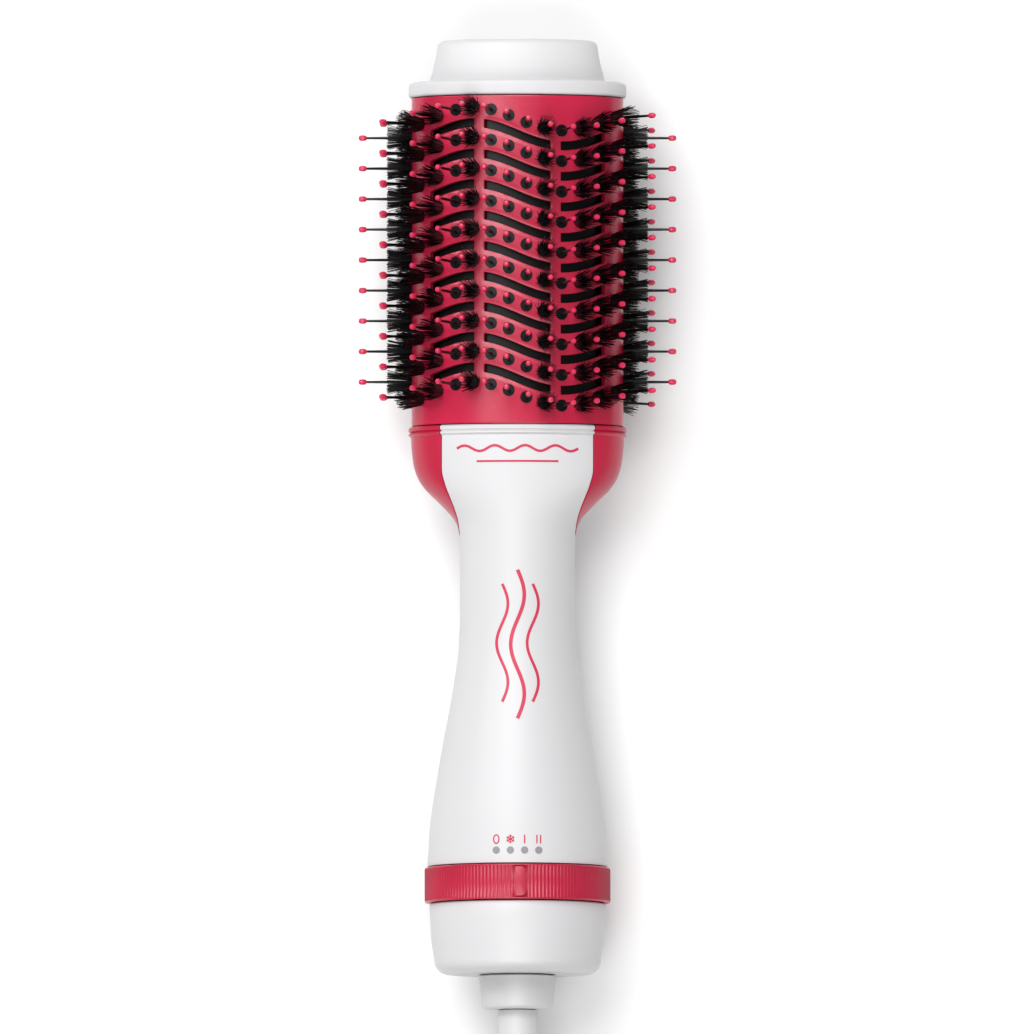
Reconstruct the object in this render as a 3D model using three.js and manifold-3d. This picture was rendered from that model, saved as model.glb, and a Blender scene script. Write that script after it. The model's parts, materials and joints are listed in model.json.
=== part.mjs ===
// A hot air brush lying on its back: an oval bristled barrel on a round handle, with its cord coiled.
//
// The tool is built upright in its own frame, in millimetres: +Z runs along the tool from the cord
// end to the tip and -Y is the front. The tool group is then laid down with its front face up, its
// tip towards +Y, resting on the back bristles and the selector ring.

import * as THREE from "three";
import { mergeGeometries, mergeVertices } from "three/addons/utils/BufferGeometryUtils.js";
import Module from "manifold-3d";

const wasm = await Module();
wasm.setup();

// ---------------------------------------------------------------- driving dimensions (mm)

const GAP = 0.3; // between pieces that touch

const BARREL_A = 37.65; // half width of the oval barrel
const BARREL_B = 20.0; // half depth of the oval barrel
const BARREL_WALL = 1.9;
const BARREL_FOOT = 207.1; // where the barrel starts along the tool
const BARREL_TOP = 323.8;

const ROWS = 10; // rows of pins round the front and the back
const ROW_PITCH = 10.86;
const TOP_ROW = 315.3;
const COLUMNS = 12; // pins across one face
const COLUMN_PITCH = 6.25;
const WAVE_HEIGHT = 4.15; // how far a row of pins swings along the tool
const WAVE_WIDTH = 63.2; // one full swing across the face
const PIN_LENGTH = 18.8;
const PIN_RADIUS = 1.0;
const PIN_HOLE_RADIUS = 2.2;
const PEG_SIDES = 3;
const FIRST_PEG = [2, 1, 0]; // column of the first modelled pin, row by row
const SIDE_PINS = 9;
const SIDE_TOP_ROW = 309.9;
const SLOT_WIDTH = 2.8;
const SLOT_GROUPS = [ // steps are the straight stretches along one slot
  { from: -31.0, to: -15.4, steps: 1 },
  { from: -11.8, to: 11.8, steps: 2 },
  { from: 15.4, to: 31.0, steps: 1 },
];

const BED_CLEARANCE = 0.45; // between the barrel wall and the bristle bed
const BED_WALL = 1.5;
const BED_BAR = 6.4; // width of the bar that carries one row of pins

const FRONT_DEPTH = 20.4; // the shoulder gets no deeper than this, front or back, below its bead
const SHOULDER_WIDTH = 37.8; // half width of the shoulder just below the bead
const HANDLE_WALL = 2.2;
const PANEL_TOP = 206.8; // where the handle's shells end under the barrel

// The handle's outline, as [distance along the tool, half width].
const HANDLE_OUTLINE = [
  [51.0, 31.9], [63.9, 31.25], [85.2, 28.05], [106.5, 24.15], [122.0, 21.6], [138.5, 20.4],
  [166.9, 20.4], [170.4, 20.95], [174.0, 22.55], [177.5, 25.55], [184.6, 32.85], [188.2, 35.15],
  [195.3, 37.3], [203.2, SHOULDER_WIDTH], [203.6, 38.7], [206.4, 38.7], [PANEL_TOP, 38.2],
];
const HANDLE_SIDES = 28;
const SHOULDER_FOOT = 168.6; // where the crimson shoulder's wings end in points
const HANDLE_SCREW_X = 21.5;
const HANDLE_SCREW_Z = 63;

// The white front panel's edge, as [distance along the tool, half width].
const PANEL_OUTLINE = [
  [SHOULDER_FOOT, 20.3], [173.0, 20.8], [177.0, 22.2], [185.0, 25.6], [191.0, 27.0], [PANEL_TOP + 1, 27.0],
];

const RING_BOTTOM = 37.8; // selector ring
const RING_TOP = 50.2;
const RING_RADIUS = 33.0;
const RING_BORE = 29.3;
const RING_RIBS = 100;
const POINTER_ANGLE = 3.1; // degrees round from the front
const NECK_RADIUS = 28.9; // the handle's neck that carries the ring
const NECK_WALL = 2.0;

const BASE_BOTTOM = 12.4; // base cap
const BASE_TOP = 37.4;
const BASE_FLOOR = 2.4; // thickness under the intake
const INTAKE_SLOTS = 20;
const INTAKE_INNER = 16.4; // radius at which the slots start
const INTAKE_OUTER = 22.6;
const INTAKE_WIDTH = 2.6;

const CORD_RADIUS = 3.5;
const COIL_INNER_TURN = 35.5; // radius of the inner turns' centreline
const COIL_OUTER_TURN = 42.5;
const COIL_LIFT = 0.9; // the tie under the coil lifts it this much
const COIL_LAYERS = 3;
const TAIL_RADIUS = 39;
const TAIL_REACH = 80; // how far past the coil's centre the tail reaches the plug
const RELIEF_LENGTH = 18;
const PLUG_LENGTH = 34;
const COIL_CENTRE_X = -22.5;
const COIL_BEYOND_EXIT = 131; // how far past the strain relief the coil's centre lies

// ---------------------------------------------------------------- materials

const plastic = (color, roughness = 0.35) =>
  new THREE.MeshStandardMaterial({ color, roughness, metalness: 0 });
const metal = (color, roughness = 0.35) =>
  new THREE.MeshStandardMaterial({ color, roughness, metalness: 1 });

const WHITE = plastic("#f2f1f2");
const CRIMSON = plastic("#d92f55", 0.38);
const BLACK = plastic("#0c0b0c", 0.5);
const GREY = plastic("#5a5c60", 0.6);
const MICA = plastic("#b9ab8c", 0.55);
const BOARD = plastic("#2c6b4a", 0.5);
const BLUE = plastic("#3a5f9c", 0.4);
const RUBBER = plastic("#232323", 0.8);
const STEEL = metal("#b8babd", 0.3);
const BRASS = metal("#c7a24c", 0.3);
const NICHROME = metal("#8f8378", 0.45);

// ---------------------------------------------------------------- solids

const radians = THREE.MathUtils.degToRad;
const tool = new THREE.Group();
const lying = new THREE.Group();

function signedVolume(geometry) {
  const corner = geometry.attributes.position;
  const index = geometry.index.array;
  const [a, b, c] = [new THREE.Vector3(), new THREE.Vector3(), new THREE.Vector3()];
  let six = 0;
  for (let i = 0; i < index.length; i += 3) {
    a.fromBufferAttribute(corner, index[i]);
    b.fromBufferAttribute(corner, index[i + 1]);
    c.fromBufferAttribute(corner, index[i + 2]);
    six += a.dot(b.cross(c));
  }
  return six;
}

// The same shape with shared corners merged and every face pointing out.
function closed(geometry) {
  const bare = new THREE.BufferGeometry();
  bare.setAttribute("position", geometry.attributes.position.clone());
  if (geometry.index) bare.setIndex(geometry.index.clone());
  const merged = mergeVertices(bare, 1e-4);
  const kept = [];
  const index = merged.index.array;
  for (let i = 0; i < index.length; i += 3) {
    const [a, b, c] = [index[i], index[i + 1], index[i + 2]];
    if (a !== b && b !== c && c !== a) kept.push(a, b, c);
  }
  merged.setIndex(kept);
  if (signedVolume(merged) < 0) {
    for (let i = 0; i < kept.length; i += 3) {
      [kept[i + 1], kept[i + 2]] = [kept[i + 2], kept[i + 1]];
    }
    merged.setIndex(kept);
  }
  return merged;
}

function toSolid(geometry) {
  const shape = closed(geometry);
  return new wasm.Manifold(new wasm.Mesh({
    numProp: 3,
    vertProperties: new Float32Array(shape.attributes.position.array),
    triVerts: new Uint32Array(shape.index.array),
  }));
}

function toGeometry(solid) {
  const mesh = solid.getMesh();
  const geometry = new THREE.BufferGeometry();
  geometry.setAttribute("position", new THREE.BufferAttribute(mesh.vertProperties, 3));
  geometry.setIndex(new THREE.BufferAttribute(mesh.triVerts, 1));
  return geometry;
}

const toSolids = (geometries) => toSolid(mergeGeometries(geometries.map(closed)));
const cut = (geometry, ...tools) =>
  toGeometry(tools.reduce((left, t) => left.subtract(toSolid(t)), toSolid(geometry)));
const join = (...geometries) =>
  toGeometry(geometries.slice(1).reduce((sum, g) => sum.add(toSolid(g)), toSolid(geometries[0])));
const common = (a, b) => toGeometry(toSolid(a).intersect(toSolid(b)));

// A box from its lowest and highest corners.
function block(x0, x1, y0, y1, z0, z1) {
  const box = new THREE.BoxGeometry(x1 - x0, y1 - y0, z1 - z0);
  return box.translate((x0 + x1) / 2, (y0 + y1) / 2, (z0 + z1) / 2);
}

// A round bar along Z.
function rod(radius, z0, z1, sides = 16) {
  const bar = new THREE.CylinderGeometry(radius, radius, z1 - z0, sides);
  return bar.rotateX(Math.PI / 2).translate(0, 0, (z0 + z1) / 2);
}

// A profile of [radius, z] points turned about Z. It closes on itself unless both ends are on the axis.
function turned(profile, segments = 32) {
  const points = profile.map(([r, z]) => new THREE.Vector2(r, z));
  const onAxis = profile[0][0] === 0 && profile.at(-1)[0] === 0;
  if (!onAxis) points.push(points[0].clone());
  return new THREE.LatheGeometry(points, segments).rotateX(Math.PI / 2);
}

const hoop = (inner, outer, z0, z1, segments = 24) =>
  turned([[inner, z0], [outer, z0], [outer, z1], [inner, z1]], segments);

// Squashes a turned shape front to back, by a ratio that depends on the height.
function squashed(geometry, ratioAt) {
  const corner = geometry.attributes.position;
  for (let i = 0; i < corner.count; i += 1) {
    corner.setY(i, corner.getY(i) * ratioAt(corner.getZ(i)));
  }
  return geometry;
}

// A solid oval slab of half width a and half depth b.
const ovalSlab = (a, b, z0, z1, segments = 40) =>
  squashed(turned([[0, z0], [a, z0], [a, z1], [0, z1]], segments), () => b / a);

// An oval tube whose wall has the same thickness all round.
function ovalTube(a, b, wall, z0, z1, segments = 32) {
  const hollow = ovalSlab(a - wall, b - wall, z0 - 1, z1 + 1, segments);
  return cut(ovalSlab(a, b, z0, z1, segments), hollow);
}

function widthAt(outline, z) {
  const after = outline.findIndex(([height]) => height >= z);
  if (after === 0) return outline[0][1];
  if (after < 0) return outline.at(-1)[1];
  const [[z0, w0], [z1, w1]] = [outline[after - 1], outline[after]];
  return w0 + ((w1 - w0) * (z - z0)) / (z1 - z0);
}

function add(name, geometry, material, parent = tool) {
  const mesh = new THREE.Mesh(closed(geometry), material);
  mesh.name = name;
  parent.add(mesh);
  return mesh;
}

// ---------------------------------------------------------------- barrel and bristles

const FACES = [
  { side: "front", sign: -1 },
  { side: "back", sign: 1 },
];

const waveAt = (x) => -WAVE_HEIGHT * Math.sin((2 * Math.PI * x) / WAVE_WIDTH);

// A row runs the same way on the back when the tool is turned half round its own axis.
const rowAt = (row, x, sign) => TOP_ROW - ROW_PITCH * row - sign * waveAt(x);

// The point and outward direction on the barrel's wall at one width.
function wallAt(x, sign) {
  const y = BARREL_B * Math.sqrt(Math.max(0, 1 - (x / BARREL_A) ** 2));
  const outward = new THREE.Vector3(x / BARREL_A ** 2, (sign * y) / BARREL_B ** 2, 0).normalize();
  return { point: new THREE.Vector3(x, sign * y, 0), outward };
}

// A plain peg standing out of the barrel's wall, from `below` under it to `above` over it.
function peg({ point, outward }, z, radius, below, above) {
  const bar = new THREE.CylinderGeometry(radius, radius, below + above, PEG_SIDES);
  const turn = new THREE.Quaternion().setFromUnitVectors(new THREE.Vector3(0, 1, 0), outward);
  const centre = point.clone().addScaledVector(outward, (above - below) / 2);
  return bar.applyQuaternion(turn).translate(centre.x, centre.y, z);
}

// Every third place of a face, staggered from row to row. The pins between them are left out here.
function pegsOnFace(sign, radius, below, above) {
  const pegs = [];
  for (let row = 0; row < ROWS; row += 1) {
    for (let column = FIRST_PEG[row % 3]; column < COLUMNS; column += 3) {
      const x = (column - (COLUMNS - 1) / 2) * COLUMN_PITCH;
      pegs.push(peg(wallAt(x, sign), rowAt(row, x, sign), radius, below, above));
    }
  }
  return pegs;
}

function pegsOnSide(sign, radius, below, above) {
  const wall = {
    point: new THREE.Vector3(sign * BARREL_A, 0, 0),
    outward: new THREE.Vector3(sign, 0, 0),
  };
  return Array.from({ length: SIDE_PINS }, (_, row) =>
    peg(wall, SIDE_TOP_ROW - ROW_PITCH * row, radius, below, above));
}

// A ribbon that follows the wave between two rows, right through one face of the barrel.
function waveRibbon(row, sign, from, to, steps, width) {
  const outline = new THREE.Shape();
  const middle = (x) => rowAt(row + 0.5, x, sign);
  const at = (i) => from + ((to - from) * i) / steps;
  outline.moveTo(at(0), middle(at(0)) - width / 2);
  for (let i = 1; i <= steps; i += 1) outline.lineTo(at(i), middle(at(i)) - width / 2);
  for (let i = steps; i >= 0; i -= 1) outline.lineTo(at(i), middle(at(i)) + width / 2);
  const slab = new THREE.ExtrudeGeometry(outline, { depth: BARREL_B, bevelEnabled: false });
  const nearest = 4.5; // clear of the parting plane
  return slab.rotateX(Math.PI / 2).translate(0, sign > 0 ? BARREL_B + nearest : -nearest, 0);
}

function slotsOn(sign) {
  const ribbons = [];
  for (let row = 0; row < ROWS - 1; row += 1) {
    for (const { from, to, steps } of SLOT_GROUPS) {
      ribbons.push(waveRibbon(row, sign, from, to, steps, SLOT_WIDTH));
    }
  }
  return ribbons;
}

function halfSpace(sign, clear) {
  const far = 60;
  return sign < 0
    ? block(-far, far, -far, -clear, 0, 400)
    : block(-far, far, clear, far, 0, 400);
}

for (const { side, sign } of FACES) {
  const tube = ovalTube(BARREL_A, BARREL_B, BARREL_WALL, BARREL_FOOT, BARREL_TOP);
  const half = toSolid(common(tube, halfSpace(sign, GAP / 2)));
  const holes = pegsOnFace(sign, PIN_HOLE_RADIUS, BARREL_WALL + 1.5, 2);
  const sideHoles = [-1, 1].flatMap((edge) => pegsOnSide(edge, PIN_HOLE_RADIUS, 4, 2));
  const shell = [slotsOn(sign), holes, sideHoles].reduce((left, t) => left.subtract(toSolids(t)), half);
  add(`barrel_${side}`, toGeometry(shell), CRIMSON);
}

const BED_A = BARREL_A - BARREL_WALL - BED_CLEARANCE;
const BED_B = BARREL_B - BARREL_WALL - BED_CLEARANCE;
const BED_FOOT = BARREL_FOOT + 1.5;
const BED_TOP = BARREL_TOP - 2;
const BED_EDGE = 3.0; // how far the beds stop from the parting plane

for (const { side, sign } of FACES) {
  const tube = ovalTube(BED_A, BED_B, BED_WALL, BED_FOOT, BED_TOP, 24);
  const half = toSolid(common(tube, halfSpace(sign, BED_EDGE)));
  const windows = [];
  for (let row = 0; row < ROWS - 1; row += 1) {
    windows.push(waveRibbon(row, sign, -30.5, 30.5, 4, ROW_PITCH - BED_BAR));
  }
  const pins = pegsOnFace(sign, PIN_RADIUS, BARREL_WALL + BED_CLEARANCE + 0.8, PIN_LENGTH);
  const bed = half.subtract(toSolids(windows)).add(toSolids(pins));
  add(`bristle_bed_${side}`, toGeometry(bed), BLACK);
}

for (const [side, sign] of [["left", -1], ["right", 1]]) {
  const inner = sign * (BED_A - 1.6);
  const outer = sign * (BED_A - 0.1);
  const bar = block(Math.min(inner, outer), Math.max(inner, outer), -2.4, 2.4, BED_FOOT, BED_TOP);
  const pins = pegsOnSide(sign, PIN_RADIUS, BARREL_WALL + BED_CLEARANCE + 0.9, PIN_LENGTH);
  add(`bristle_strip_${side}`, toGeometry(toSolid(bar).add(toSolids(pins))), BLACK);
}

// ---------------------------------------------------------------- tip

const FLANGE_BOTTOM = BARREL_TOP + GAP;
const FLANGE_TOP = 329.4;
const FLANGE_A = 38.7;
const FLANGE_B = 21.05;
const TIP_BOTTOM = FLANGE_TOP + GAP;
const TIP_TOP = 344.5;
const TIP_SCREW_X = 18;
const TIP_SCREW_END = 315.5;
const TIP_FLOOR = 2.4; // thickness of the cap's flat end
const TIP_OUTLINE = [
  [TIP_BOTTOM, 31.4], [333.3, 30.2], [340.0, 28.75], [342.2, 28.1], [343.6, 26.6], [TIP_TOP, 23.2],
];
const tipRatio = (z) => (widthAt(TIP_OUTLINE, z) - (BARREL_A - BARREL_B)) / widthAt(TIP_OUTLINE, z);

const besideAxis = (geometry, x) => geometry.clone().translate(x, 0, 0);
const screwHole = rod(1.7, 300, 335, 12);

const flange = squashed(turned([
  [0, FLANGE_BOTTOM], [FLANGE_A - 0.8, FLANGE_BOTTOM], [FLANGE_A, FLANGE_BOTTOM + 0.8],
  [FLANGE_A, FLANGE_TOP - 1.2], [FLANGE_A - 1.2, FLANGE_TOP], [0, FLANGE_TOP],
], 40), () => FLANGE_B / FLANGE_A);
const tipScrewHoles = [-TIP_SCREW_X, TIP_SCREW_X].map((x) => besideAxis(screwHole, x));
add("tip_flange", cut(flange, ...tipScrewHoles), WHITE);

const tipOuter = TIP_OUTLINE.map(([z, width]) => [width, z]);
add("tip_cap", squashed(turned([
  [0, TIP_TOP], ...tipOuter.toReversed(), [29.0, TIP_BOTTOM], [26.4, 340.0], [24.5, TIP_TOP - TIP_FLOOR],
  [0, TIP_TOP - TIP_FLOOR],
], 32), tipRatio), WHITE);

const plate = ovalSlab(BED_A - BED_WALL - 0.8, BED_B - BED_WALL - 0.8, 317.6, 320.4, 28);
add("barrel_end_plate", cut(plate, ...tipScrewHoles), GREY);

for (const [number, x] of [[1, -TIP_SCREW_X], [2, TIP_SCREW_X]]) {
  const screw = turned([
    [0, TIP_SCREW_END], [1.4, TIP_SCREW_END], [1.4, TIP_BOTTOM], [2.8, TIP_BOTTOM],
    [2.8, TIP_BOTTOM + 1.7], [0, TIP_BOTTOM + 1.7],
  ], 12);
  add(`tip_screw_${number}`, screw, STEEL).position.x = x;
}

// ---------------------------------------------------------------- heater

const HEATER_FOOT = 216;
const HEATER_TOP = 306;
add("heater_board", block(-26.5, 26.5, -0.5, 0.5, HEATER_FOOT, HEATER_TOP), MICA);

class OvalHelix extends THREE.Curve {
  constructor(a, b, z0, z1, turns) {
    super();
    Object.assign(this, { a, b, z0, z1, turns });
  }

  getPoint(t, target = new THREE.Vector3()) {
    const angle = 2 * Math.PI * this.turns * t;
    const z = this.z0 + (this.z1 - this.z0) * t;
    return target.set(this.a * Math.cos(angle), this.b * Math.sin(angle), z);
  }
}

// A regular polygon as the section of a wire or a cord.
function roundSection(radius, sides) {
  const corners = Array.from({ length: sides }, (_, i) => {
    const angle = (2 * Math.PI * i) / sides;
    return new THREE.Vector2(radius * Math.cos(angle), radius * Math.sin(angle));
  });
  return new THREE.Shape(corners);
}

// A round bar of even thickness along a curve.
function sweep(curve, radius, sides, steps) {
  const settings = { extrudePath: curve, steps, bevelEnabled: false };
  return new THREE.ExtrudeGeometry(roundSection(radius, sides), settings);
}

const HEATER_TURNS = 3.5;
for (const [number, foot] of [[1, 222], [2, 264]]) {
  const helix = new OvalHelix(28.8, 9, foot, foot + 34, HEATER_TURNS);
  add(`heating_coil_${number}`, sweep(helix, 0.7, 4, 28), NICHROME);
}

add("thermostat", rod(4.2, 0.8, 4.6, 12).rotateX(Math.PI / 2).translate(-12, 0, 260), STEEL);
add("thermal_fuse", rod(1.4, -5, 5, 8).rotateY(Math.PI / 2).translate(12, -2.3, 260), STEEL);

// ---------------------------------------------------------------- handle and shoulder

// Round up to the shoulder, then ever wider at the same depth, with the bead standing proud all round.
function handleRatio(z) {
  const width = widthAt(HANDLE_OUTLINE, z);
  const bead = Math.max(0, width - SHOULDER_WIDTH);
  return z < 150 ? 1 : Math.min(1, (FRONT_DEPTH + bead) / width);
}

const handleOutside = HANDLE_OUTLINE.map(([z, width]) => [width, z]);
const handleInside = HANDLE_OUTLINE.filter(([z]) => z > 60 && z < 203)
  .map(([z, width]) => [width - HANDLE_WALL, z]).reverse();
const WALL_FOOT = 56.0;

const handleTube = () => squashed(turned([
  [NECK_RADIUS - NECK_WALL, BASE_TOP + GAP], [NECK_RADIUS, BASE_TOP + GAP],
  [NECK_RADIUS, RING_TOP + GAP], ...handleOutside, [38.2 - HANDLE_WALL, PANEL_TOP], ...handleInside,
  [29.4, WALL_FOOT], [NECK_RADIUS - NECK_WALL, WALL_FOOT - 3],
], HANDLE_SIDES), handleRatio);

// The front panel's outline as a slab through the whole tool, grown or shrunk by `grow`.
function panelSlab(grow) {
  const edge = PANEL_OUTLINE.map(([z, width]) => [width + grow, z]);
  const outline = new THREE.Shape();
  outline.moveTo(-edge[0][0], edge[0][1]);
  for (const [x, z] of edge) outline.lineTo(x, z);
  for (const [x, z] of edge.toReversed()) outline.lineTo(-x, z);
  const slab = new THREE.ExtrudeGeometry(outline, { depth: 100, bevelEnabled: false });
  return slab.rotateX(Math.PI / 2).translate(0, 50, 0);
}

const shoulderZone = block(-60, 60, -60, 60, SHOULDER_FOOT, 220);
const whiteZone = join(block(-60, 60, -60, 60, 0, SHOULDER_FOOT), panelSlab(-GAP / 2));

// The ring's lug reaches the switch through this window in the neck.
const LUG_BOTTOM = 42;
const LUG_TOP = 46;
const lugWindow = block(-7.2, 12.2, 20, 40, LUG_BOTTOM - 1.5, LUG_TOP + 1.5);

// A round bar along Y, at the place of a handle screw.
const screwBar = (radius, y0, y1, x) =>
  rod(radius, y0, y1, 8).rotateX(-Math.PI / 2).translate(x, 0, HANDLE_SCREW_Z);

for (const { side, sign } of FACES) {
  const white = common(handleTube(), whiteZone);
  let half = toSolid(common(white, halfSpace(sign, GAP / 2)));
  for (const x of [-HANDLE_SCREW_X, HANDLE_SCREW_X]) {
    const [low, high] = sign < 0 ? [-19.5, -GAP / 2] : [GAP / 2, 19.5];
    half = half.add(toSolid(screwBar(3.0, low, high, x)));
    half = half.subtract(toSolid(screwBar(1.5, -10, 12, x)));
    if (sign > 0) half = half.subtract(toSolid(screwBar(2.6, 8, 40, x)));
  }
  if (sign > 0) half = half.subtract(toSolid(lugWindow));
  add(`handle_${side}`, toGeometry(half), WHITE);
}

const shoulderTube = common(handleTube(), shoulderZone);
const wings = cut(shoulderTube, panelSlab(GAP / 2));
add("shoulder_wing_left", common(wings, block(-60, 0, -60, 60, 160, 220)), CRIMSON);
add("shoulder_wing_right", common(wings, block(0, 60, -60, 60, 160, 220)), CRIMSON);

// Two screws, driven from the back, hold the halves of the handle together.
for (const [number, x] of [[1, -HANDLE_SCREW_X], [2, HANDLE_SCREW_X]]) {
  const screw = turned([[0, -9], [1.15, -9], [1.15, 8.4], [2.25, 8.4], [2.25, 10.2], [0, 10.2]], 8);
  const placed = add(`handle_screw_${number}`, screw.rotateX(-Math.PI / 2), STEEL);
  placed.position.set(x, 0, HANDLE_SCREW_Z);
}

// ---------------------------------------------------------------- selector ring and switch

const LUG_TIP = 21.3; // radius that the lug reaches in to
const SLIDER_FOOT = 40.5;
const SLIDER_TOP = 47.5;

function selectorRing() {
  const radiusAt = (i) => (i % 2 ? RING_RADIUS : RING_RADIUS - 0.45);
  const outline = new THREE.Shape(Array.from({ length: RING_RIBS }, (_, i) => {
    const angle = (2 * Math.PI * i) / RING_RIBS;
    return new THREE.Vector2(radiusAt(i) * Math.cos(angle), radiusAt(i) * Math.sin(angle));
  }));
  const bore = Array.from({ length: 36 }, (_, i) => {
    const angle = (-2 * Math.PI * i) / 36;
    return new THREE.Vector2(RING_BORE * Math.cos(angle), RING_BORE * Math.sin(angle));
  });
  outline.holes.push(new THREE.Path(bore));
  const body = new THREE.ExtrudeGeometry(outline, { depth: RING_TOP - RING_BOTTOM, bevelEnabled: false });
  body.translate(0, 0, RING_BOTTOM);
  const lug = block(-1.5, 1.5, LUG_TIP, RING_BORE + 1.2, LUG_BOTTOM, LUG_TOP);
  const pointer = block(-1.9, 1.9, -RING_RADIUS - 0.35, -RING_RADIUS + 1.2, RING_BOTTOM + 1, RING_TOP - 1);
  return join(body, lug, pointer.rotateZ(radians(POINTER_ANGLE)));
}

add("selector_ring", selectorRing(), CRIMSON);
add("switch_slider", join(
  block(-5, 5, 15.6, 19.7, SLIDER_FOOT, SLIDER_TOP),
  block(-4.1, -2.6, 19.5, 23.3, SLIDER_FOOT + 1, SLIDER_TOP - 1),
  block(2.6, 4.1, 19.5, 23.3, SLIDER_FOOT + 1, SLIDER_TOP - 1),
), GREY);
add("switch_body", block(-15, 16, 7.0, 15.2, 39.5, 49.0), BLACK);
add("control_board", block(-18, 18, 3.4, 5.0, 54, 86), BOARD);
add("suppressor_capacitor", block(-9, 6, 5.3, 12.3, 58, 70), BLUE);
add("rectifier_bridge", block(8, 14, 5.3, 8.6, 74, 82), BLACK);

// ---------------------------------------------------------------- motor and fan

const FAN_BLADES = 7;
const FAN_MIDDLE = 107; // along the tool
const DUCT_INNER = 18.3;
const DUCT_OUTER = 19.2;
const SHAFT_BORE = 1.45;
const MOTOR_FOOT = 123;
const MOTOR_TOP = 160;
const MOTOR_RADIUS = 13.9;

function fanDuct() {
  const wall = hoop(DUCT_INNER, DUCT_OUTER, 99, 121, 24);
  const hub = hoop(1.6, 7.5, 114, 119, 12);
  const vanes = Array.from({ length: 5 }, (_, i) =>
    block(6.5, DUCT_INNER + 0.6, -0.6, 0.6, 113.5, 119.5).rotateZ((2 * Math.PI * i) / 5));
  return join(wall, hub, ...vanes);
}

function fan() {
  const hub = turned([[SHAFT_BORE, 101], [5.5, 101], [6.8, 104], [6.8, 112], [SHAFT_BORE, 112]], 14);
  const blades = Array.from({ length: FAN_BLADES }, (_, i) =>
    block(5.6, 17.6, -0.6, 0.6, -5.2, 5.2)
      .rotateX(radians(42)).translate(0, 0, FAN_MIDDLE).rotateZ((2 * Math.PI * i) / FAN_BLADES));
  return join(hub, ...blades);
}

add("fan_duct", fanDuct(), GREY);
add("fan_rotor", fan(), BLACK);
add("motor_shaft", rod(1.15, 100, 166.5, 12), STEEL);
add("motor_can", turned([
  [SHAFT_BORE, MOTOR_FOOT], [5, MOTOR_FOOT], [5, MOTOR_FOOT + 1.4], [MOTOR_RADIUS, MOTOR_FOOT + 1.4],
  [MOTOR_RADIUS, MOTOR_TOP], [SHAFT_BORE, MOTOR_TOP],
], 20), STEEL);
add("motor_end_bell", turned([
  [SHAFT_BORE, MOTOR_TOP + GAP], [13.5, MOTOR_TOP + GAP], [12.5, MOTOR_TOP + 3.8],
  [SHAFT_BORE, MOTOR_TOP + 4.8],
], 20), GREY);

for (const [number, z] of [[1, 129], [2, 151]]) {
  const spokes = Array.from({ length: 3 }, (_, i) =>
    block(15.0, 17.7, -2, 2, z, z + 4).rotateZ((2 * Math.PI * (i + 0.25)) / 3));
  add(`motor_mount_${number}`, join(hoop(14.2, 15.6, z, z + 4, 20), ...spokes), RUBBER);
}

// ---------------------------------------------------------------- base and swivel

const baseOutline = [
  [24.3, BASE_BOTTOM], [27.6, 13.9], [29.65, 17.0], [30.5, 23.5], [31.25, BASE_TOP],
];
const baseCup = turned([
  [11.6, BASE_BOTTOM], ...baseOutline, [29.0, BASE_TOP], [27.6, 18.0], [25.0, BASE_BOTTOM + BASE_FLOOR],
  [11.6, BASE_BOTTOM + BASE_FLOOR],
], 32);
const intakeSlots = Array.from({ length: INTAKE_SLOTS }, (_, i) =>
  block(INTAKE_INNER, INTAKE_OUTER, -INTAKE_WIDTH / 2, INTAKE_WIDTH / 2, BASE_BOTTOM - 2, BASE_BOTTOM + 4)
    .rotateZ((2 * Math.PI * (i + 0.5)) / INTAKE_SLOTS));
add("base_cap", toGeometry(toSolid(baseCup).subtract(toSolids(intakeSlots))), WHITE);
add("dust_filter", hoop(15.2, 24.2, 15.1, 16.1), RUBBER);

add("swivel_neck", turned([
  [4.2, 0], [11.0, 0], [12.1, 0.5], [12.5, 1.6], [13.85, 11.9], [11.2, 11.9], [11.2, 24], [4.2, 24],
], 24), WHITE);
add("swivel_clip", hoop(11.5, 14.2, 15.1, 16.7, 18), STEEL);
for (const [name, z] of [["live", 18.2], ["neutral", 21.2]]) {
  add(`slip_ring_${name}`, hoop(11.5, 12.7, z, z + 1.8, 18), BRASS);
  add(`contact_${name}`, block(13.0, 13.8, -4, 4, z + 0.1, z + 1.7), BRASS);
}

const RELIEF_END = -46;
add("strain_relief", turned([
  [0, -GAP], [7.1, -GAP], [7.1, -12], [6.4, -20], [4.7, RELIEF_END + 0.6], [4.4, RELIEF_END],
  [0, RELIEF_END],
], 16), WHITE);

// ---------------------------------------------------------------- laying the tool down

// It rests on the ring's lower edge and on the lowest back pin nearest the handle.
const restX = COLUMN_PITCH / 2;
const restWall = wallAt(restX, 1);
const restDepth = restWall.point.y + restWall.outward.y * PIN_LENGTH;
const restRow = rowAt(ROWS - 1, restX, 1);
const restRun = Math.min(restRow, rowAt(ROWS - 1, -restX, 1)) - PIN_RADIUS - RING_BOTTOM;
const tilt = Math.atan2(restDepth - RING_RADIUS, restRun);

lying.add(tool);
tool.rotation.x = -Math.PI / 2 + tilt;
lying.updateMatrixWorld(true);
const box = new THREE.Box3().setFromObject(tool, true);
const centre = box.getCenter(new THREE.Vector3());
tool.position.set(-centre.x, -centre.y, -box.min.z);
lying.updateMatrixWorld(true);

// ---------------------------------------------------------------- cord

const exit = new THREE.Vector3(0, 0, RELIEF_END - GAP).applyMatrix4(tool.matrixWorld);
const coilY = exit.y - COIL_BEYOND_EXIT;
const meetY = coilY + 27.5; // where the cord comes up against the side of the coil
const meetX = COIL_CENTRE_X + COIL_OUTER_TURN;

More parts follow.
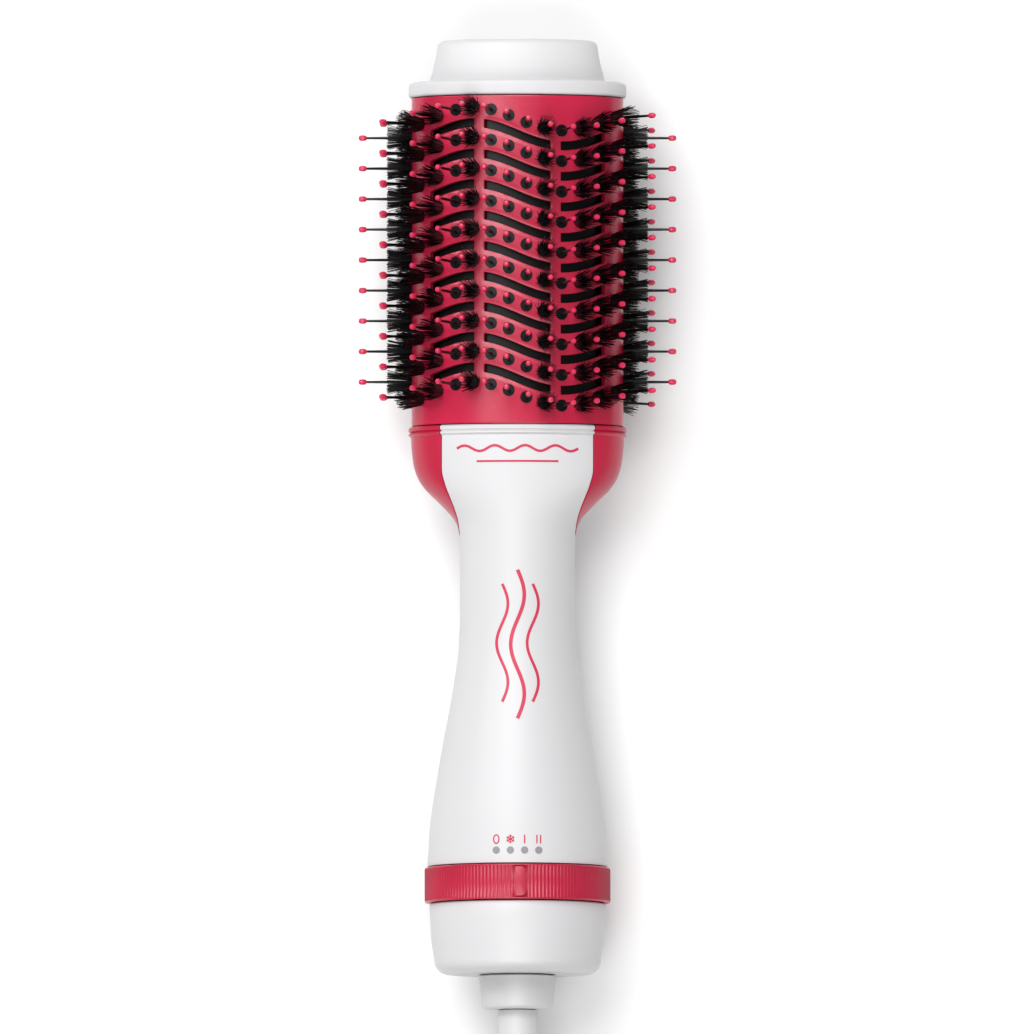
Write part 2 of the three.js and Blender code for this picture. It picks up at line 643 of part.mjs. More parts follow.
const CORD_ROUTE = [
  [0, exit.y, exit.z], [0, exit.y - 6, exit.z - 0.3], [1.2, exit.y - 18, exit.z - 2.2],
  [4.6, exit.y - 32, exit.z - 8.4], [9.6, exit.y - 46, exit.z - 16.6], [14.8, exit.y - 60, 7.6],
  [18.4, exit.y - 74, 4.2], [meetX, meetY, CORD_RADIUS + COIL_LIFT],
];
const route = new THREE.CatmullRomCurve3(CORD_ROUTE.map((p) => new THREE.Vector3(...p)));
add("cord_tube", sweep(route, CORD_RADIUS, 10, 8), WHITE, lying);

const COIL_TOP = COIL_LIFT + COIL_LAYERS * 2 * CORD_RADIUS;
const coilInner = COIL_INNER_TURN - CORD_RADIUS;
const coilOuter = COIL_OUTER_TURN + CORD_RADIUS;
const coil = add("cord_coil", hoop(coilInner, coilOuter, COIL_LIFT, COIL_TOP, 28), WHITE, lying);
coil.position.set(COIL_CENTRE_X, coilY, 0);

// The last of the cord runs half round on top of the coil, clockwise, and comes down beside it.
const PLUG_AXIS_Z = 7.3;
const tailX = COIL_CENTRE_X - TAIL_RADIUS;
const tailZ = COIL_TOP + 2 * GAP + CORD_RADIUS;
const tailTurn = [-40, -75, -110, -145].map((degrees) => {
  const angle = radians(degrees);
  return [COIL_CENTRE_X + TAIL_RADIUS * Math.cos(angle), coilY + TAIL_RADIUS * Math.sin(angle), tailZ];
});
const TAIL_ROUTE = [
  ...tailTurn, [tailX, coilY, tailZ], [tailX, coilY + 24, tailZ - 0.1], [tailX, coilY + 36, tailZ - 2.2],
  [tailX, coilY + 51, 16.2], [tailX, coilY + 66, 8.6], [tailX, coilY + TAIL_REACH, PLUG_AXIS_Z],
];
const tail = new THREE.CatmullRomCurve3(TAIL_ROUTE.map((p) => new THREE.Vector3(...p)));
add("cord_tail", sweep(tail, CORD_RADIUS, 10, 12), WHITE, lying);

function cordTie() {
  const [near, far] = [coilInner - 0.9, coilOuter + 0.5];
  const top = COIL_TOP + 0.3;
  return cut(block(-4, 4, near - 0.7, far + 0.7, 0, top + 0.7), block(-5, 5, near, far, 0.6, top));
}

add("cord_tie", cordTie(), BLACK, lying).position.set(COIL_CENTRE_X, coilY, 0);

// ---------------------------------------------------------------- plug, lying flat beside the coil

const plug = new THREE.Group();
plug.position.set(tailX, coilY + TAIL_REACH + 2 * GAP, PLUG_AXIS_Z);
lying.add(plug);

function plugBody() {
  const outline = new THREE.Shape([
    [-7, 0], [7, 0], [10, 6], [13, 12], [13, PLUG_LENGTH], [-13, PLUG_LENGTH], [-13, 12], [-10, 6],
  ].map(([x, y]) => new THREE.Vector2(x, y)));
  const slab = new THREE.ExtrudeGeometry(outline, { depth: 2 * PLUG_AXIS_Z - 0.6, bevelEnabled: false });
  return slab.translate(0, RELIEF_LENGTH + GAP, 0.3 - PLUG_AXIS_Z);
}

const plugRelief = turned([[0, 0], [4.4, 0], [6.2, RELIEF_LENGTH], [0, RELIEF_LENGTH]], 12);
add("plug_relief", plugRelief.rotateX(-Math.PI / 2), WHITE, plug);
add("plug_body", plugBody(), WHITE, plug);
for (const [number, x] of [[1, -9.5], [2, 9.5]]) {
  const foot = RELIEF_LENGTH + PLUG_LENGTH + 2 * GAP;
  const pin = rod(2.0, foot, foot + 19, 10).rotateX(-Math.PI / 2);
  add(`plug_pin_${number}`, pin, BRASS, plug).position.x = x;
}

export default lying;
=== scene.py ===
"""The looks of a hot air brush: an oval bristled barrel on a round handle, with its cord coiled.

Shapes are modelled upright in the tool's own frame, in millimetres: +Z runs along the tool from the
cord end to the tip, and -Y is the front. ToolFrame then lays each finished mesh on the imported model.
"""

import json
import logging
import math
import random
from collections.abc import Callable, Iterable, Sequence
from dataclasses import dataclass, field
from enum import Enum
from typing import Any

import bmesh
import bpy
from mathutils import Matrix, Vector

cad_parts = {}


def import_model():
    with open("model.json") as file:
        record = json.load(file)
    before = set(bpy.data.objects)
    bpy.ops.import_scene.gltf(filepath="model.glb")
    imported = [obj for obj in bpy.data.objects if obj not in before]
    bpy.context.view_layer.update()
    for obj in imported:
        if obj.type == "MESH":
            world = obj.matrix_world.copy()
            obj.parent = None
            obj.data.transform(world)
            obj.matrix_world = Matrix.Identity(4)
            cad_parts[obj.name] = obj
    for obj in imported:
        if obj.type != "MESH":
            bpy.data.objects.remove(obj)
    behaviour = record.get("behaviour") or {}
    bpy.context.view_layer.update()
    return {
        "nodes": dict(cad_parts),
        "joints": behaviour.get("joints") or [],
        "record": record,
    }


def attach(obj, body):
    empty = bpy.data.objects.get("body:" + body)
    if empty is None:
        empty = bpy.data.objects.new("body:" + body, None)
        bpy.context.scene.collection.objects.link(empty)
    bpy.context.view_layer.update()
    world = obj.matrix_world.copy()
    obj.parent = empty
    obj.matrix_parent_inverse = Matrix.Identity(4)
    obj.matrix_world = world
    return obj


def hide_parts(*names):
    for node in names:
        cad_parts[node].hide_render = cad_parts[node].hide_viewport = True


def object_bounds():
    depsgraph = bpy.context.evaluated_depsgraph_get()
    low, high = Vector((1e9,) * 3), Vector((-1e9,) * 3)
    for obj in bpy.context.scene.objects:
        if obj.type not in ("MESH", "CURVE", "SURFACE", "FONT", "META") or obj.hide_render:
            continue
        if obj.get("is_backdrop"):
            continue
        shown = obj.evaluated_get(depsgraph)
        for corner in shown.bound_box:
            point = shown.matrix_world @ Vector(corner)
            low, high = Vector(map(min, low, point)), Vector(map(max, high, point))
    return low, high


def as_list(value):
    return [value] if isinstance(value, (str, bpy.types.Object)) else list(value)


LOG = logging.getLogger("hot_air_brush")
MM = 0.001
Outline = Sequence[tuple[float, float]]
Place = Callable[[float, float], Vector]

IMAGE_HEIGHT = 1034


class Body(Enum):
    """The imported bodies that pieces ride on."""

    TOOL = "tool"
    SELECTOR = "selector"
    SWIVEL = "swivel"


class Face(Enum):
    """The two faces of the tool, by the sign of Y."""

    FRONT = -1
    BACK = 1

    @property
    def label(self) -> str:
        """The face's name as it stands in a piece's name."""
        return self.name.lower()


# ---------------------------------------------------------------- small helpers


def linear(hexadecimal: str) -> tuple[float, float, float, float]:
    """Turns an sRGB hex colour into linear light.

    Args:
        hexadecimal: six digits, such as "d92f55".

    Returns:
        Red, green, blue and an alpha of one.
    """
    channels = [int(hexadecimal[i : i + 2], 16) / 255 for i in (0, 2, 4)]
    light = [c / 12.92 if c <= 0.04045 else ((c + 0.055) / 1.055) ** 2.4 for c in channels]
    return (*light, 1.0)


def between(outline: Outline, at: float) -> float:
    """Reads a smooth curve through an outline's points.

    Args:
        outline: (position, value) pairs in rising order of position.
        at: the position to read.

    Returns:
        The value there, held level past both ends.
    """
    if at <= outline[0][0]:
        return outline[0][1]
    if at >= outline[-1][0]:
        return outline[-1][1]
    i = next(k for k in range(1, len(outline)) if outline[k][0] >= at)
    (x0, y0), (x1, y1) = outline[i - 1], outline[i]
    step = x1 - x0

    def slope(k: int) -> float:
        """The outline's slope at one of its points, level at a turning point."""
        if k == 0 or k == len(outline) - 1:
            return (y1 - y0) / step
        before, after = outline[k - 1], outline[k + 1]
        left = (outline[k][1] - before[1]) / (outline[k][0] - before[0])
        right = (after[1] - outline[k][1]) / (after[0] - outline[k][0])
        return 0.0 if left * right <= 0 else 2 * left * right / (left + right)

    t = (at - x0) / step
    blend = t * t * (3 - 2 * t)
    bend = step * (t * (1 - t) ** 2 * slope(i - 1) - t * t * (1 - t) * slope(i))
    return y0 + (y1 - y0) * blend + bend


def spread(stops: Sequence[float], most: float) -> list[float]:
    """Fills the stretches between stops with even steps.

    Args:
        stops: positions that have to be among the levels.
        most: the widest step allowed.

    Returns:
        All the levels in order, the stops included.
    """
    levels = [stops[0]]
    for low, high in zip(stops, stops[1:]):
        steps = max(1, math.ceil(abs(high - low) / most - 1e-6))
        levels += [low + (high - low) * k / steps for k in range(1, steps + 1)]
    return levels


# ---------------------------------------------------------------- finishes


def add_node(
    tree: bpy.types.NodeTree, kind: str, inputs: dict[str, Any] | None = None, **settings: Any
) -> bpy.types.Node:
    """Adds one shader node with its settings, values and links.

    Args:
        tree: the material's node tree.
        kind: the node's type name without its ShaderNode prefix.
        inputs: a value or an output socket for each named or numbered input.
        settings: attributes of the node itself.

    Returns:
        The new node.
    """
    node = tree.nodes.new(f"ShaderNode{kind}")
    for name, value in settings.items():
        setattr(node, name, value)
    for name, value in (inputs or {}).items():
        if isinstance(value, bpy.types.NodeSocket):
            tree.links.new(value, node.inputs[name])
        else:
            node.inputs[name].default_value = value
    return node


@dataclass(frozen=True)
class Finish:
    """A surface finish: a base colour that varies a little, and a fine relief.

    Attributes:
        name: what the finish is, in a maker's words.
        colour: sRGB hex of the main colour.
        second: sRGB hex that the main colour drifts towards in patches.
        patch_mm: width of those patches.
        roughness: mean roughness.
        uneven: how far the roughness swings either way.
        grain_mm: width of the relief's grains.
        relief_mm: height of the relief.
        metallic: one for bare metal.
        ior: refractive index, left at the default on metal.
        coat: weight of a clear top coat.
        coat_roughness: roughness of that coat.
    """

    name: str
    colour: str
    second: str
    patch_mm: float = 25.0
    roughness: float = 0.4
    uneven: float = 0.04
    grain_mm: float = 0.8
    relief_mm: float = 0.01
    metallic: float = 0.0
    ior: float = 1.5
    coat: float = 0.0
    coat_roughness: float = 0.1

    def material(self) -> bpy.types.Material:
        """Makes the finish's material, or finds it if it is already made."""
        made = bpy.data.materials.get(self.name)
        return made or self._build()

    def _build(self) -> bpy.types.Material:
        """Builds the node tree: patches of colour and roughness, and a fine bump.

        Returns:
            The new material.
        """
        material = bpy.data.materials.new(self.name)
        material.use_nodes = True
        tree = material.node_tree
        tree.nodes.clear()
        place = add_node(tree, "TexCoord").outputs["Object"]
        patches = add_node(
            tree, "TexNoise",
            {"Vector": place, "Scale": 1 / (self.patch_mm * MM), "Detail": 3.0, "Roughness": 0.5},
        )
        grain = add_node(
            tree, "TexNoise",
            {"Vector": place, "Scale": 1 / (self.grain_mm * MM), "Detail": 2.0, "Roughness": 0.6},
        )
        tint = add_node(
            tree,
            "Mix",
            {0: patches.outputs["Fac"], 6: linear(self.colour), 7: linear(self.second)},
            data_type="RGBA",
        )
        rough = add_node(
            tree,
            "MapRange",
            {
                "Value": patches.outputs["Fac"],
                "From Min": 0.3,
                "From Max": 0.7,
                "To Min": self.roughness - self.uneven,
                "To Max": self.roughness + self.uneven,
            },
        )
        bump = add_node(
            tree,
            "Bump",
            {"Height": grain.outputs["Fac"], "Distance": self.relief_mm * MM, "Strength": 1.0},
        )
        shader = add_node(
            tree,
            "BsdfPrincipled",
            {
                "Base Color": tint.outputs[2],
                "Roughness": rough.outputs["Result"],
                "Normal": bump.outputs["Normal"],
                "Metallic": self.metallic,
                "IOR": self.ior,
                "Coat Weight": self.coat,
                "Coat Roughness": self.coat_roughness,
            },
        )
        add_node(tree, "OutputMaterial", {"Surface": shader.outputs["BSDF"]})
        return material


# Injection-moulded ABS, polished tool: white, held low so that strong light keeps its shading, with a
# satin gloss and a faint orange peel.
WHITE_ABS = Finish("white moulded ABS", "cdcccd", "c9c8ca", 40, 0.42, 0.03, 1.6, 0.004, ior=1.53)
# Crimson ceramic-loaded coating, sprayed: satin, with the very fine speckle of its pigment.
CRIMSON_COAT = Finish("crimson ceramic coating", "b8183c", "bd1c41", 18, 0.25, 0.03, 0.35, 0.003, ior=1.5)
# Crimson ABS, moulded: the same red in the solid, a little glossier than the coating.
CRIMSON_ABS = Finish("crimson moulded ABS", "b4173a", "af1437", 30, 0.34, 0.03, 1.2, 0.004, ior=1.53)
# Dipped crimson nylon: the round tips of the pins, smooth and slightly waxy.
TIP_NYLON = Finish("dipped crimson nylon", "cf2950", "c6224a", 4, 0.28, 0.03, 0.3, 0.002, ior=1.53)
# Black nylon 6: moulded pins and beds, with a dull gloss that keeps an edge light.
BLACK_NYLON = Finish("black moulded nylon", "030203", "050405", 6, 0.3, 0.04, 0.4, 0.002, ior=1.3)
# Drawn nylon bristle: fine black filament that catches light along its length.
BRISTLE_NYLON = Finish("drawn nylon bristle", "030203", "080708", 2, 0.36, 0.05, 0.2, 0.001, ior=1.42)
# Pad print: matt ink a few hundredths of a millimetre thick.
RED_INK = Finish("red pad print", "c42a4e", "bf2449", 8, 0.5, 0.03, 0.3, 0.002)
GREY_INK = Finish("grey pad print", "858386", "8b898c", 8, 0.5, 0.03, 0.3, 0.002)
# Soft PVC: cord sheath and mouldings on it, matt white with a slight orange peel.
WHITE_PVC = Finish("white soft PVC", "cccbcc", "c7c6c8", 30, 0.46, 0.04, 1.0, 0.012, ior=1.53)
# Glass-filled nylon: dull grey, with a coarse moulded skin.
GREY_FILLED = Finish("grey glass-filled nylon", "5c5e62", "515357", 10, 0.55, 0.06, 0.5, 0.02)
# Pressed mica: pearly tan sheet with flaky patches.
MICA_SHEET = Finish("pressed mica sheet", "b6a884", "8e8060", 3, 0.38, 0.12, 1.2, 0.03, ior=1.58)
# Drawn nichrome: warm dark wire, blued by heat.
NICHROME_WIRE = Finish("drawn nichrome wire", "8c7f73", "5f5650", 5, 0.36, 0.08, 0.3, 0.004, metallic=1.0)
# Zinc-plated steel: cool grey with a soft shine.
PLATED_STEEL = Finish("zinc-plated steel", "b9bbbf", "a2a4a8", 8, 0.3, 0.08, 0.4, 0.004, metallic=1.0)
# Turned brass, nickel-free: plug pins and sliding contacts.
TURNED_BRASS = Finish("turned brass", "cfae5e", "b8954a", 8, 0.26, 0.06, 0.3, 0.003, metallic=1.0)
# Glass-epoxy board under green solder mask.
BOARD_EPOXY = Finish("green solder mask", "1f6a43", "175536", 4, 0.35, 0.05, 0.6, 0.01)
# Dipped film capacitor: glossy blue lacquer.
BLUE_LACQUER = Finish("blue dipped lacquer", "335a9e", "2b4f8e", 6, 0.25, 0.04, 1.5, 0.02, coat=0.4)
# Moulded rubber: nearly black and matt.
BLACK_RUBBER = Finish("black moulded rubber", "1b1b1c", "232324", 6, 0.75, 0.06, 0.4, 0.02)

SLOT_FINISHES: dict[str, Finish] = {
    "white_abs": WHITE_ABS,
    "crimson_shell": CRIMSON_ABS,
    "black_nylon": BLACK_NYLON,
    "dark_moulding": BLACK_NYLON,
    "grey_moulding": GREY_FILLED,
    "fan_black": BLACK_NYLON,
    "mica": MICA_SHEET,
    "nichrome": NICHROME_WIRE,
    "steel": PLATED_STEEL,
    "brass": TURNED_BRASS,
    "circuit_board": BOARD_EPOXY,
    "blue_film": BLUE_LACQUER,
    "rubber": BLACK_RUBBER,
    "white_cord": WHITE_PVC,
}


# ---------------------------------------------------------------- the tool's frame and pieces


@dataclass(frozen=True)
class ToolFrame:
    """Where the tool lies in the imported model.

    Attributes:
        foot: the lower end of the swivel neck, on the tool's axis, in metres.
        axis: the direction along the tool, towards its tip.
    """

    foot: Vector
    axis: Vector

    @classmethod
    def from_joints(cls, joints: Sequence[dict[str, Any]], name: str, along_mm: float) -> "ToolFrame":
        """Reads the frame from a joint whose pivot is a known way along the tool.

        Args:
            joints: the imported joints.
            name: the joint to read.
            along_mm: how far along the tool its pivot is.

        Returns:
            The tool's frame.
        """
        joint = next(j for j in joints if j["name"] == name)
        axis = Vector(joint["axis"]).normalized()
        return cls(Vector(joint["pos_m"]) - axis * along_mm * MM, axis)

    def matrix(self) -> Matrix:
        """The transform from the tool's frame, in millimetres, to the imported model, in metres."""
        across = Vector((1, 0, 0))
        back = self.axis.cross(across)
        turn = Matrix((across, back, self.axis)).transposed().to_4x4()
        return Matrix.Translation(self.foot) @ turn @ Matrix.Scale(MM, 4)


def soften(shape: bmesh.types.BMesh, angle: float = 34.0) -> None:
    """Shades a mesh smooth but for its sharp edges.

    Args:
        shape: the mesh.
        angle: faces that meet at more than this many degrees stay sharp.
    """
    for face in shape.faces:
        face.smooth = True
    for edge in shape.edges:
        edge.smooth = len(edge.link_faces) != 2 or edge.calc_face_angle(0.0) < math.radians(angle)


def finish_piece(
    shape: bmesh.types.BMesh,
    name: str,
    finish: Finish,
    body: Body,
    matrix: Matrix,
    replaces: Sequence[str] = (),
) -> bpy.types.Object:
    """Turns a modelled shape into a piece that rides on its body.

    Args:
        shape: the mesh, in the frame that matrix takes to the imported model.
        name: the piece's name.
        finish: its finish.
        body: the body that it rides on.
        matrix: where it goes.
        replaces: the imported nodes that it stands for.

    Returns:
        The new object, at the origin, with its place in its mesh.
    """
    soften(shape)
    mesh = bpy.data.meshes.new(name)
    shape.to_mesh(mesh)
    shape.free()
    mesh.transform(matrix)
    piece = bpy.data.objects.new(name, mesh)
    bpy.context.scene.collection.objects.link(piece)
    mesh.materials.append(finish.material())
    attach(piece, body.value)
    if replaces:
        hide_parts(*replaces)
    LOG.info("%s: %d faces on %s", name, len(mesh.polygons), body.value)
    return piece


def spun(profile: Outline, steps: int = 96) -> bmesh.types.BMesh:
    """Spins a profile round the tool's axis.

    Args:
        profile: (radius, height) points. It closes on itself unless both ends are on the axis.
        steps: faces round the full turn.

    Returns:
        The closed shape, facing outwards.
    """
    shape = bmesh.new()
    points = [shape.verts.new((r, 0.0, z)) for r, z in profile]
    edges = [shape.edges.new(pair) for pair in zip(points, points[1:])]
    if profile[0][0] > 0 or profile[-1][0] > 0:
        edges.append(shape.edges.new((points[-1], points[0])))
    bmesh.ops.spin(
        shape,
        geom=points + edges,
        axis=(0, 0, 1),
        cent=(0, 0, 0),
        angle=math.tau,
        steps=steps,
        use_merge=True,
    )
    bmesh.ops.remove_doubles(shape, verts=shape.verts[:], dist=1e-4)
    bmesh.ops.recalc_face_normals(shape, faces=shape.faces[:])
    return shape


def rounded(profile: Outline, corners: dict[int, float], steps: int = 4) -> list[tuple[float, float]]:
    """Rounds chosen corners of a profile with arcs.

    Args:
        profile: the profile's points.
        corners: the radius of each corner to round, by its index.
        steps: stretches along one arc.

    Returns:
        The profile with arcs in place of those corners.
    """
    result: list[tuple[float, float]] = []
    for i, point in enumerate(profile):
        if i not in corners:
            result.append(point)
            continue
        here = Vector(point)
        to_last = (Vector(profile[i - 1]) - here).normalized()
        to_next = (Vector(profile[(i + 1) % len(profile)]) - here).normalized()
        half = to_last.angle(to_next) / 2
        reach = corners[i] / math.tan(half)
        centre = here + (to_last + to_next).normalized() * (corners[i] / math.sin(half))
        start, end = here + to_last * reach - centre, here + to_next * reach - centre
        for k in range(steps + 1):
            ray = start.lerp(end, k / steps).normalized() * corners[i]
            result.append(tuple(centre + ray))
    return result


def sheet(columns: Sequence[float], rows: Sequence[float], place: Place) -> bmesh.types.BMesh:
    """Shapes a grid into a curved sheet.

    Args:
        columns: the level of each line across.
        rows: the level of each line along.
        place: gives the point for a pair of levels.

    Returns:
        The open sheet.
    """
    shape = bmesh.new()
    across, along = len(columns) - 1, len(rows) - 1
    bmesh.ops.create_grid(shape, x_segments=across, y_segments=along, size=0.5)
    for vert in shape.verts:
        i = round((vert.co.x + 0.5) * across)
        j = round((vert.co.y + 0.5) * along)
        vert.co = place(columns[i], rows[j])
    return shape


def thicken(shape: bmesh.types.BMesh, wall: float, edge: float, outside: Callable[[Vector], Vector]) -> None:
    """Gives a sheet its wall, inwards, and rounds its outer rims.

    Args:
        shape: the open sheet.
        wall: how thick the wall is.
        edge: the size of the rounding along the sheet's rims.
        outside: the outward direction at a point.
    """
    bmesh.ops.remove_doubles(shape, verts=shape.verts[:], dist=1e-3)
    grown = bmesh.ops.extrude_face_region(shape, geom=shape.faces[:], use_keep_orig=True)
    for vert in (g for g in grown["geom"] if isinstance(g, bmesh.types.BMVert)):
        vert.co -= outside(vert.co) * wall
    bmesh.ops.recalc_face_normals(shape, faces=shape.faces[:])
    if edge <= 0:
        return
    rims = [
        e
        for e in shape.edges
        if len(e.link_faces) == 2
        and e.calc_face_angle(0.0) > math.radians(55)
        and all(f.normal.dot(outside(e.verts[0].co)) > -0.5 for f in e.link_faces)
    ]
    bmesh.ops.bevel(
        shape,
        geom=rims,
        offset=edge,
        offset_type="OFFSET",
        affect="EDGES",
        segments=2,
        profile=0.5,
        material=-1,
        clamp_overlap=True,
    )


def repeated(template: bmesh.types.BMesh, places: Iterable[Matrix]) -> bmesh.types.BMesh:
    """Repeats a small shape at many places.

    Args:
        template: the shape, which is freed.
        places: a transform for each copy.

    Returns:
        One mesh with all the copies.
    """
    pattern = bpy.data.meshes.new("pattern")
    template.to_mesh(pattern)
    template.free()
    result = bmesh.new()
    for place in places:
        copy = pattern.copy()
        copy.transform(place)
        result.from_mesh(copy)
        bpy.data.meshes.remove(copy)
    bpy.data.meshes.remove(pattern)
    return result


def append(shape: bmesh.types.BMesh, other: bmesh.types.BMesh) -> None:
    """Adds one shape's faces to another.

    Args:
        shape: the shape that grows.
        other: the shape that is added, which is freed.
    """
    mesh = bpy.data.meshes.new("other")
    other.to_mesh(mesh)
    other.free()
    shape.from_mesh(mesh)
    bpy.data.meshes.remove(mesh)


def without(shape: bmesh.types.BMesh, tool: bmesh.types.BMesh) -> bmesh.types.BMesh:
    """Cuts one closed shape out of another.

    Args:
        shape: the shape to cut, which is freed.
        tool: the shape that is taken away, which is freed.

    Returns:
        What is left.
    """
    blocks = []
    for name, source in (("stock", shape), ("cutter", tool)):
        mesh = bpy.data.meshes.new(name)
        source.to_mesh(mesh)
        source.free()
        blocks.append(bpy.data.objects.new(name, mesh))
        bpy.context.scene.collection.objects.link(blocks[-1])
    stock, cutter = blocks
    cut = stock.modifiers.new("cut", "BOOLEAN")
    cut.operation, cut.solver, cut.object = "DIFFERENCE", "EXACT", cutter
    graph = bpy.context.evaluated_depsgraph_get()
    graph.update()
    result = bmesh.new()
    result.from_mesh(stock.evaluated_get(graph).data)
    for block in blocks:
        mesh = block.data
        bpy.data.objects.remove(block)
        bpy.data.meshes.remove(mesh)
    return result


# ---------------------------------------------------------------- barrel


@dataclass
class Barrel:
    """The oval barrel: two slotted half shells over the beds that carry the pins and tufts.

    Attributes:
        tool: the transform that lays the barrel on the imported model.
        half_width: half the oval's width.
        half_depth: half the oval's depth.
        wall: thickness of the shell.
        foot: where the shell starts along the tool.
        top: where it ends.
        rows: rows of pins on one face.
        row_pitch: distance between rows.
        top_row: the uppermost row's mean place.
        columns: pins across one face.
        column_pitch: distance between columns.
        wave_height: how far a row swings along the tool.
        wave_width: one full swing across the face.
        slot_width: width of an air slot.
        slot_groups: where the slots start and end across the face.
        pin_length: from the shell to a pin's round end.
        side_pins: pins on each side of the barrel.
        side_top_row: the uppermost side pin's place.
        boss_radius: radius of the boss at a pin's foot.
        tuft_columns: the columns of pins that stand in tufts.
        tuft_length: the longest hair of a tuft.
        tuft_hairs: hairs in a tuft.
        parting: how far each half shell stops from the parting plane.
        lip: rounding of the shell's and the slots' edges.
    """

    tool: Matrix
    half_width: float = 37.65
    half_depth: float = 20.0
    wall: float = 1.9
    foot: float = 207.1
    top: float = 323.8
    rows: int = 10
    row_pitch: float = 10.86
    top_row: float = 315.3
    columns: int = 12
    column_pitch: float = 6.25
    wave_height: float = 4.15
    wave_width: float = 63.2
    slot_width: float = 3.1
    slot_groups: Outline = ((-31.0, -15.4), (-11.8, 11.8), (15.4, 31.0))
    pin_length: float = 18.8
    side_pins: int = 9
    side_top_row: float = 309.9
    boss_radius: float = 2.3
    tuft_columns: tuple[int, ...] = (0, 1, 3, 7, 9, 10, 11)
    tuft_length: float = 9.2
    tuft_hairs: int = 76
    parting: float = 0.12
    lip: float = 0.6

    def wave(self, x: float, face: Face) -> float:
        """How far a row or slot is moved along the tool at one width."""
        return face.value * self.wave_height * math.sin(math.tau * x / self.wave_width)

    def wall_place(self, x: float, face: Face, inset: float = 0.0) -> tuple[Vector, Vector]:
        """The point on the oval at one width, and the way out of it.

        Args:
            x: the width.
            face: front or back.
            inset: how far inside the outer oval.

        Returns:
            The point, with no height, and the outward direction.
        """
        a, b = self.half_width, self.half_depth
        y = b * math.sqrt(max(0.0, 1 - (x / a) ** 2))
        outward = Vector((x / a**2, face.value * y / b**2, 0)).normalized()
        return Vector((x, face.value * y, 0)) - outward * inset, outward

    def build(self) -> None:
        """Makes the shells, the beds, the bosses, the pins, their tips and the tufts."""
        for face in Face:
            self._shell(face)
            self._bed(face)
            places = list(self._face_places(face))
            self._pins(face.label, [p for _, p in places], (f"bristle_bed_{face.label}",))
            self._tufts(face.label, [p for column, p in places if column in self.tuft_columns])
        for label, sign in (("left", -1), ("right", 1)):
            places = list(self._side_places(sign))
            self._strip(label, sign)
            self._pins(label, places, ())
            self._tufts(label, places)

    def _face_places(self, face: Face) -> Iterable[tuple[int, Matrix]]:
        """Gives the column and the transform of each pin on one face, with +Z pointing out."""
        for row in range(self.rows):
            for column in range(self.columns):
                x = (column - (self.columns - 1) / 2) * self.column_pitch
                point, outward = self.wall_place(x, face)
                point.z = self.top_row - self.row_pitch * row + self.wave(x, face)
                yield column, self._facing(point, outward, row * self.columns + column)

    def _side_places(self, sign: int) -> Iterable[Matrix]:
        """Gives the transform of each pin on one side of the barrel."""
        for row in range(self.side_pins):
            point = Vector((sign * self.half_width, 0, self.side_top_row - self.row_pitch * row))
            yield self._facing(point, Vector((sign, 0, 0)), row)

    def _facing(self, point: Vector, outward: Vector, number: int) -> Matrix:
        """A transform whose +Z points outward, spun a little differently for each number."""
        turn = outward.to_track_quat("Z", "Y").to_matrix().to_4x4()
        return Matrix.Translation(point) @ turn @ Matrix.Rotation(number * 2.4, 4, "Z")

    def _angles(self, clearance: float, most: float) -> list[float]:
        """The eccentric angles of the grid's columns, with a line at each end of every slot."""
        edge = math.pi / 2 - clearance / self.half_depth
        stops = sorted(math.asin(x / self.half_width) for group in self.slot_groups for x in group)
        return spread([-edge, *stops, edge], most)

    def _levels(self, width: float, most: float) -> list[float]:
        """The heights of the grid's rows, before the wave, with a line at each side of every slot."""
        stops = [self.foot, self.foot + 0.5]
        for row in reversed(range(self.rows - 1)):
            middle = self.top_row - self.row_pitch * (row + 0.5)
            stops += [middle - width / 2, middle + width / 2]
        return spread([*stops, self.top - 0.5, self.top], most)

    def _waved_sheet(
        self, face: Face, inset: float, width: float, clearance: float, groups: Outline
    ) -> bmesh.types.BMesh:
        """Makes one face of an oval tube, with wavy windows in it.

        Args:
            face: front or back.
            inset: how far inside the outer oval.
            width: width of a window along the tool.
            clearance: how far the sheet stops from the parting plane.
            groups: where the windows start and end across the face.

        Returns:
            The open sheet, with its windows cut.
        """
        angles, levels = self._angles(clearance, 0.045), self._levels(width, 2.2)
        low, high = self.top_row - self.row_pitch * (self.rows - 1), self.top_row

        def place(angle: float, level: float) -> Vector:
            """The point of the sheet at an eccentric angle and a height before the wave."""
            x, y = math.sin(angle) * self.half_width, math.cos(angle) * self.half_depth
            outward = Vector((x / self.half_width**2, face.value * y / self.half_depth**2, 0)).normalized()
            room = min(1.0, max(0.0, (level - self.foot) / (low - self.foot)))
            room = min(room, max(0.0, (self.top - level) / (self.top - high)))
            point = Vector((x, face.value * y, level + self.wave(x, face) * room))
            return point - outward * inset

        shape = sheet(angles, levels, place)
        windows = []
        for panel in shape.faces:
            middle = panel.calc_center_median()
            level = middle.z - self.wave(middle.x, face)
            step = (self.top_row - level) / self.row_pitch % 1.0
            in_row = abs(step - 0.5) * self.row_pitch < width / 2 - 0.05 and low < level < high
            if in_row and any(start < middle.x < end for start, end in groups):
                windows.append(panel)
        bmesh.ops.delete(shape, geom=windows, context="FACES")
        return shape

    def _outside(self, point: Vector) -> Vector:
        """The outward direction of the oval through a point."""
        return Vector((point.x / self.half_width**2, point.y / self.half_depth**2, 0)).normalized()

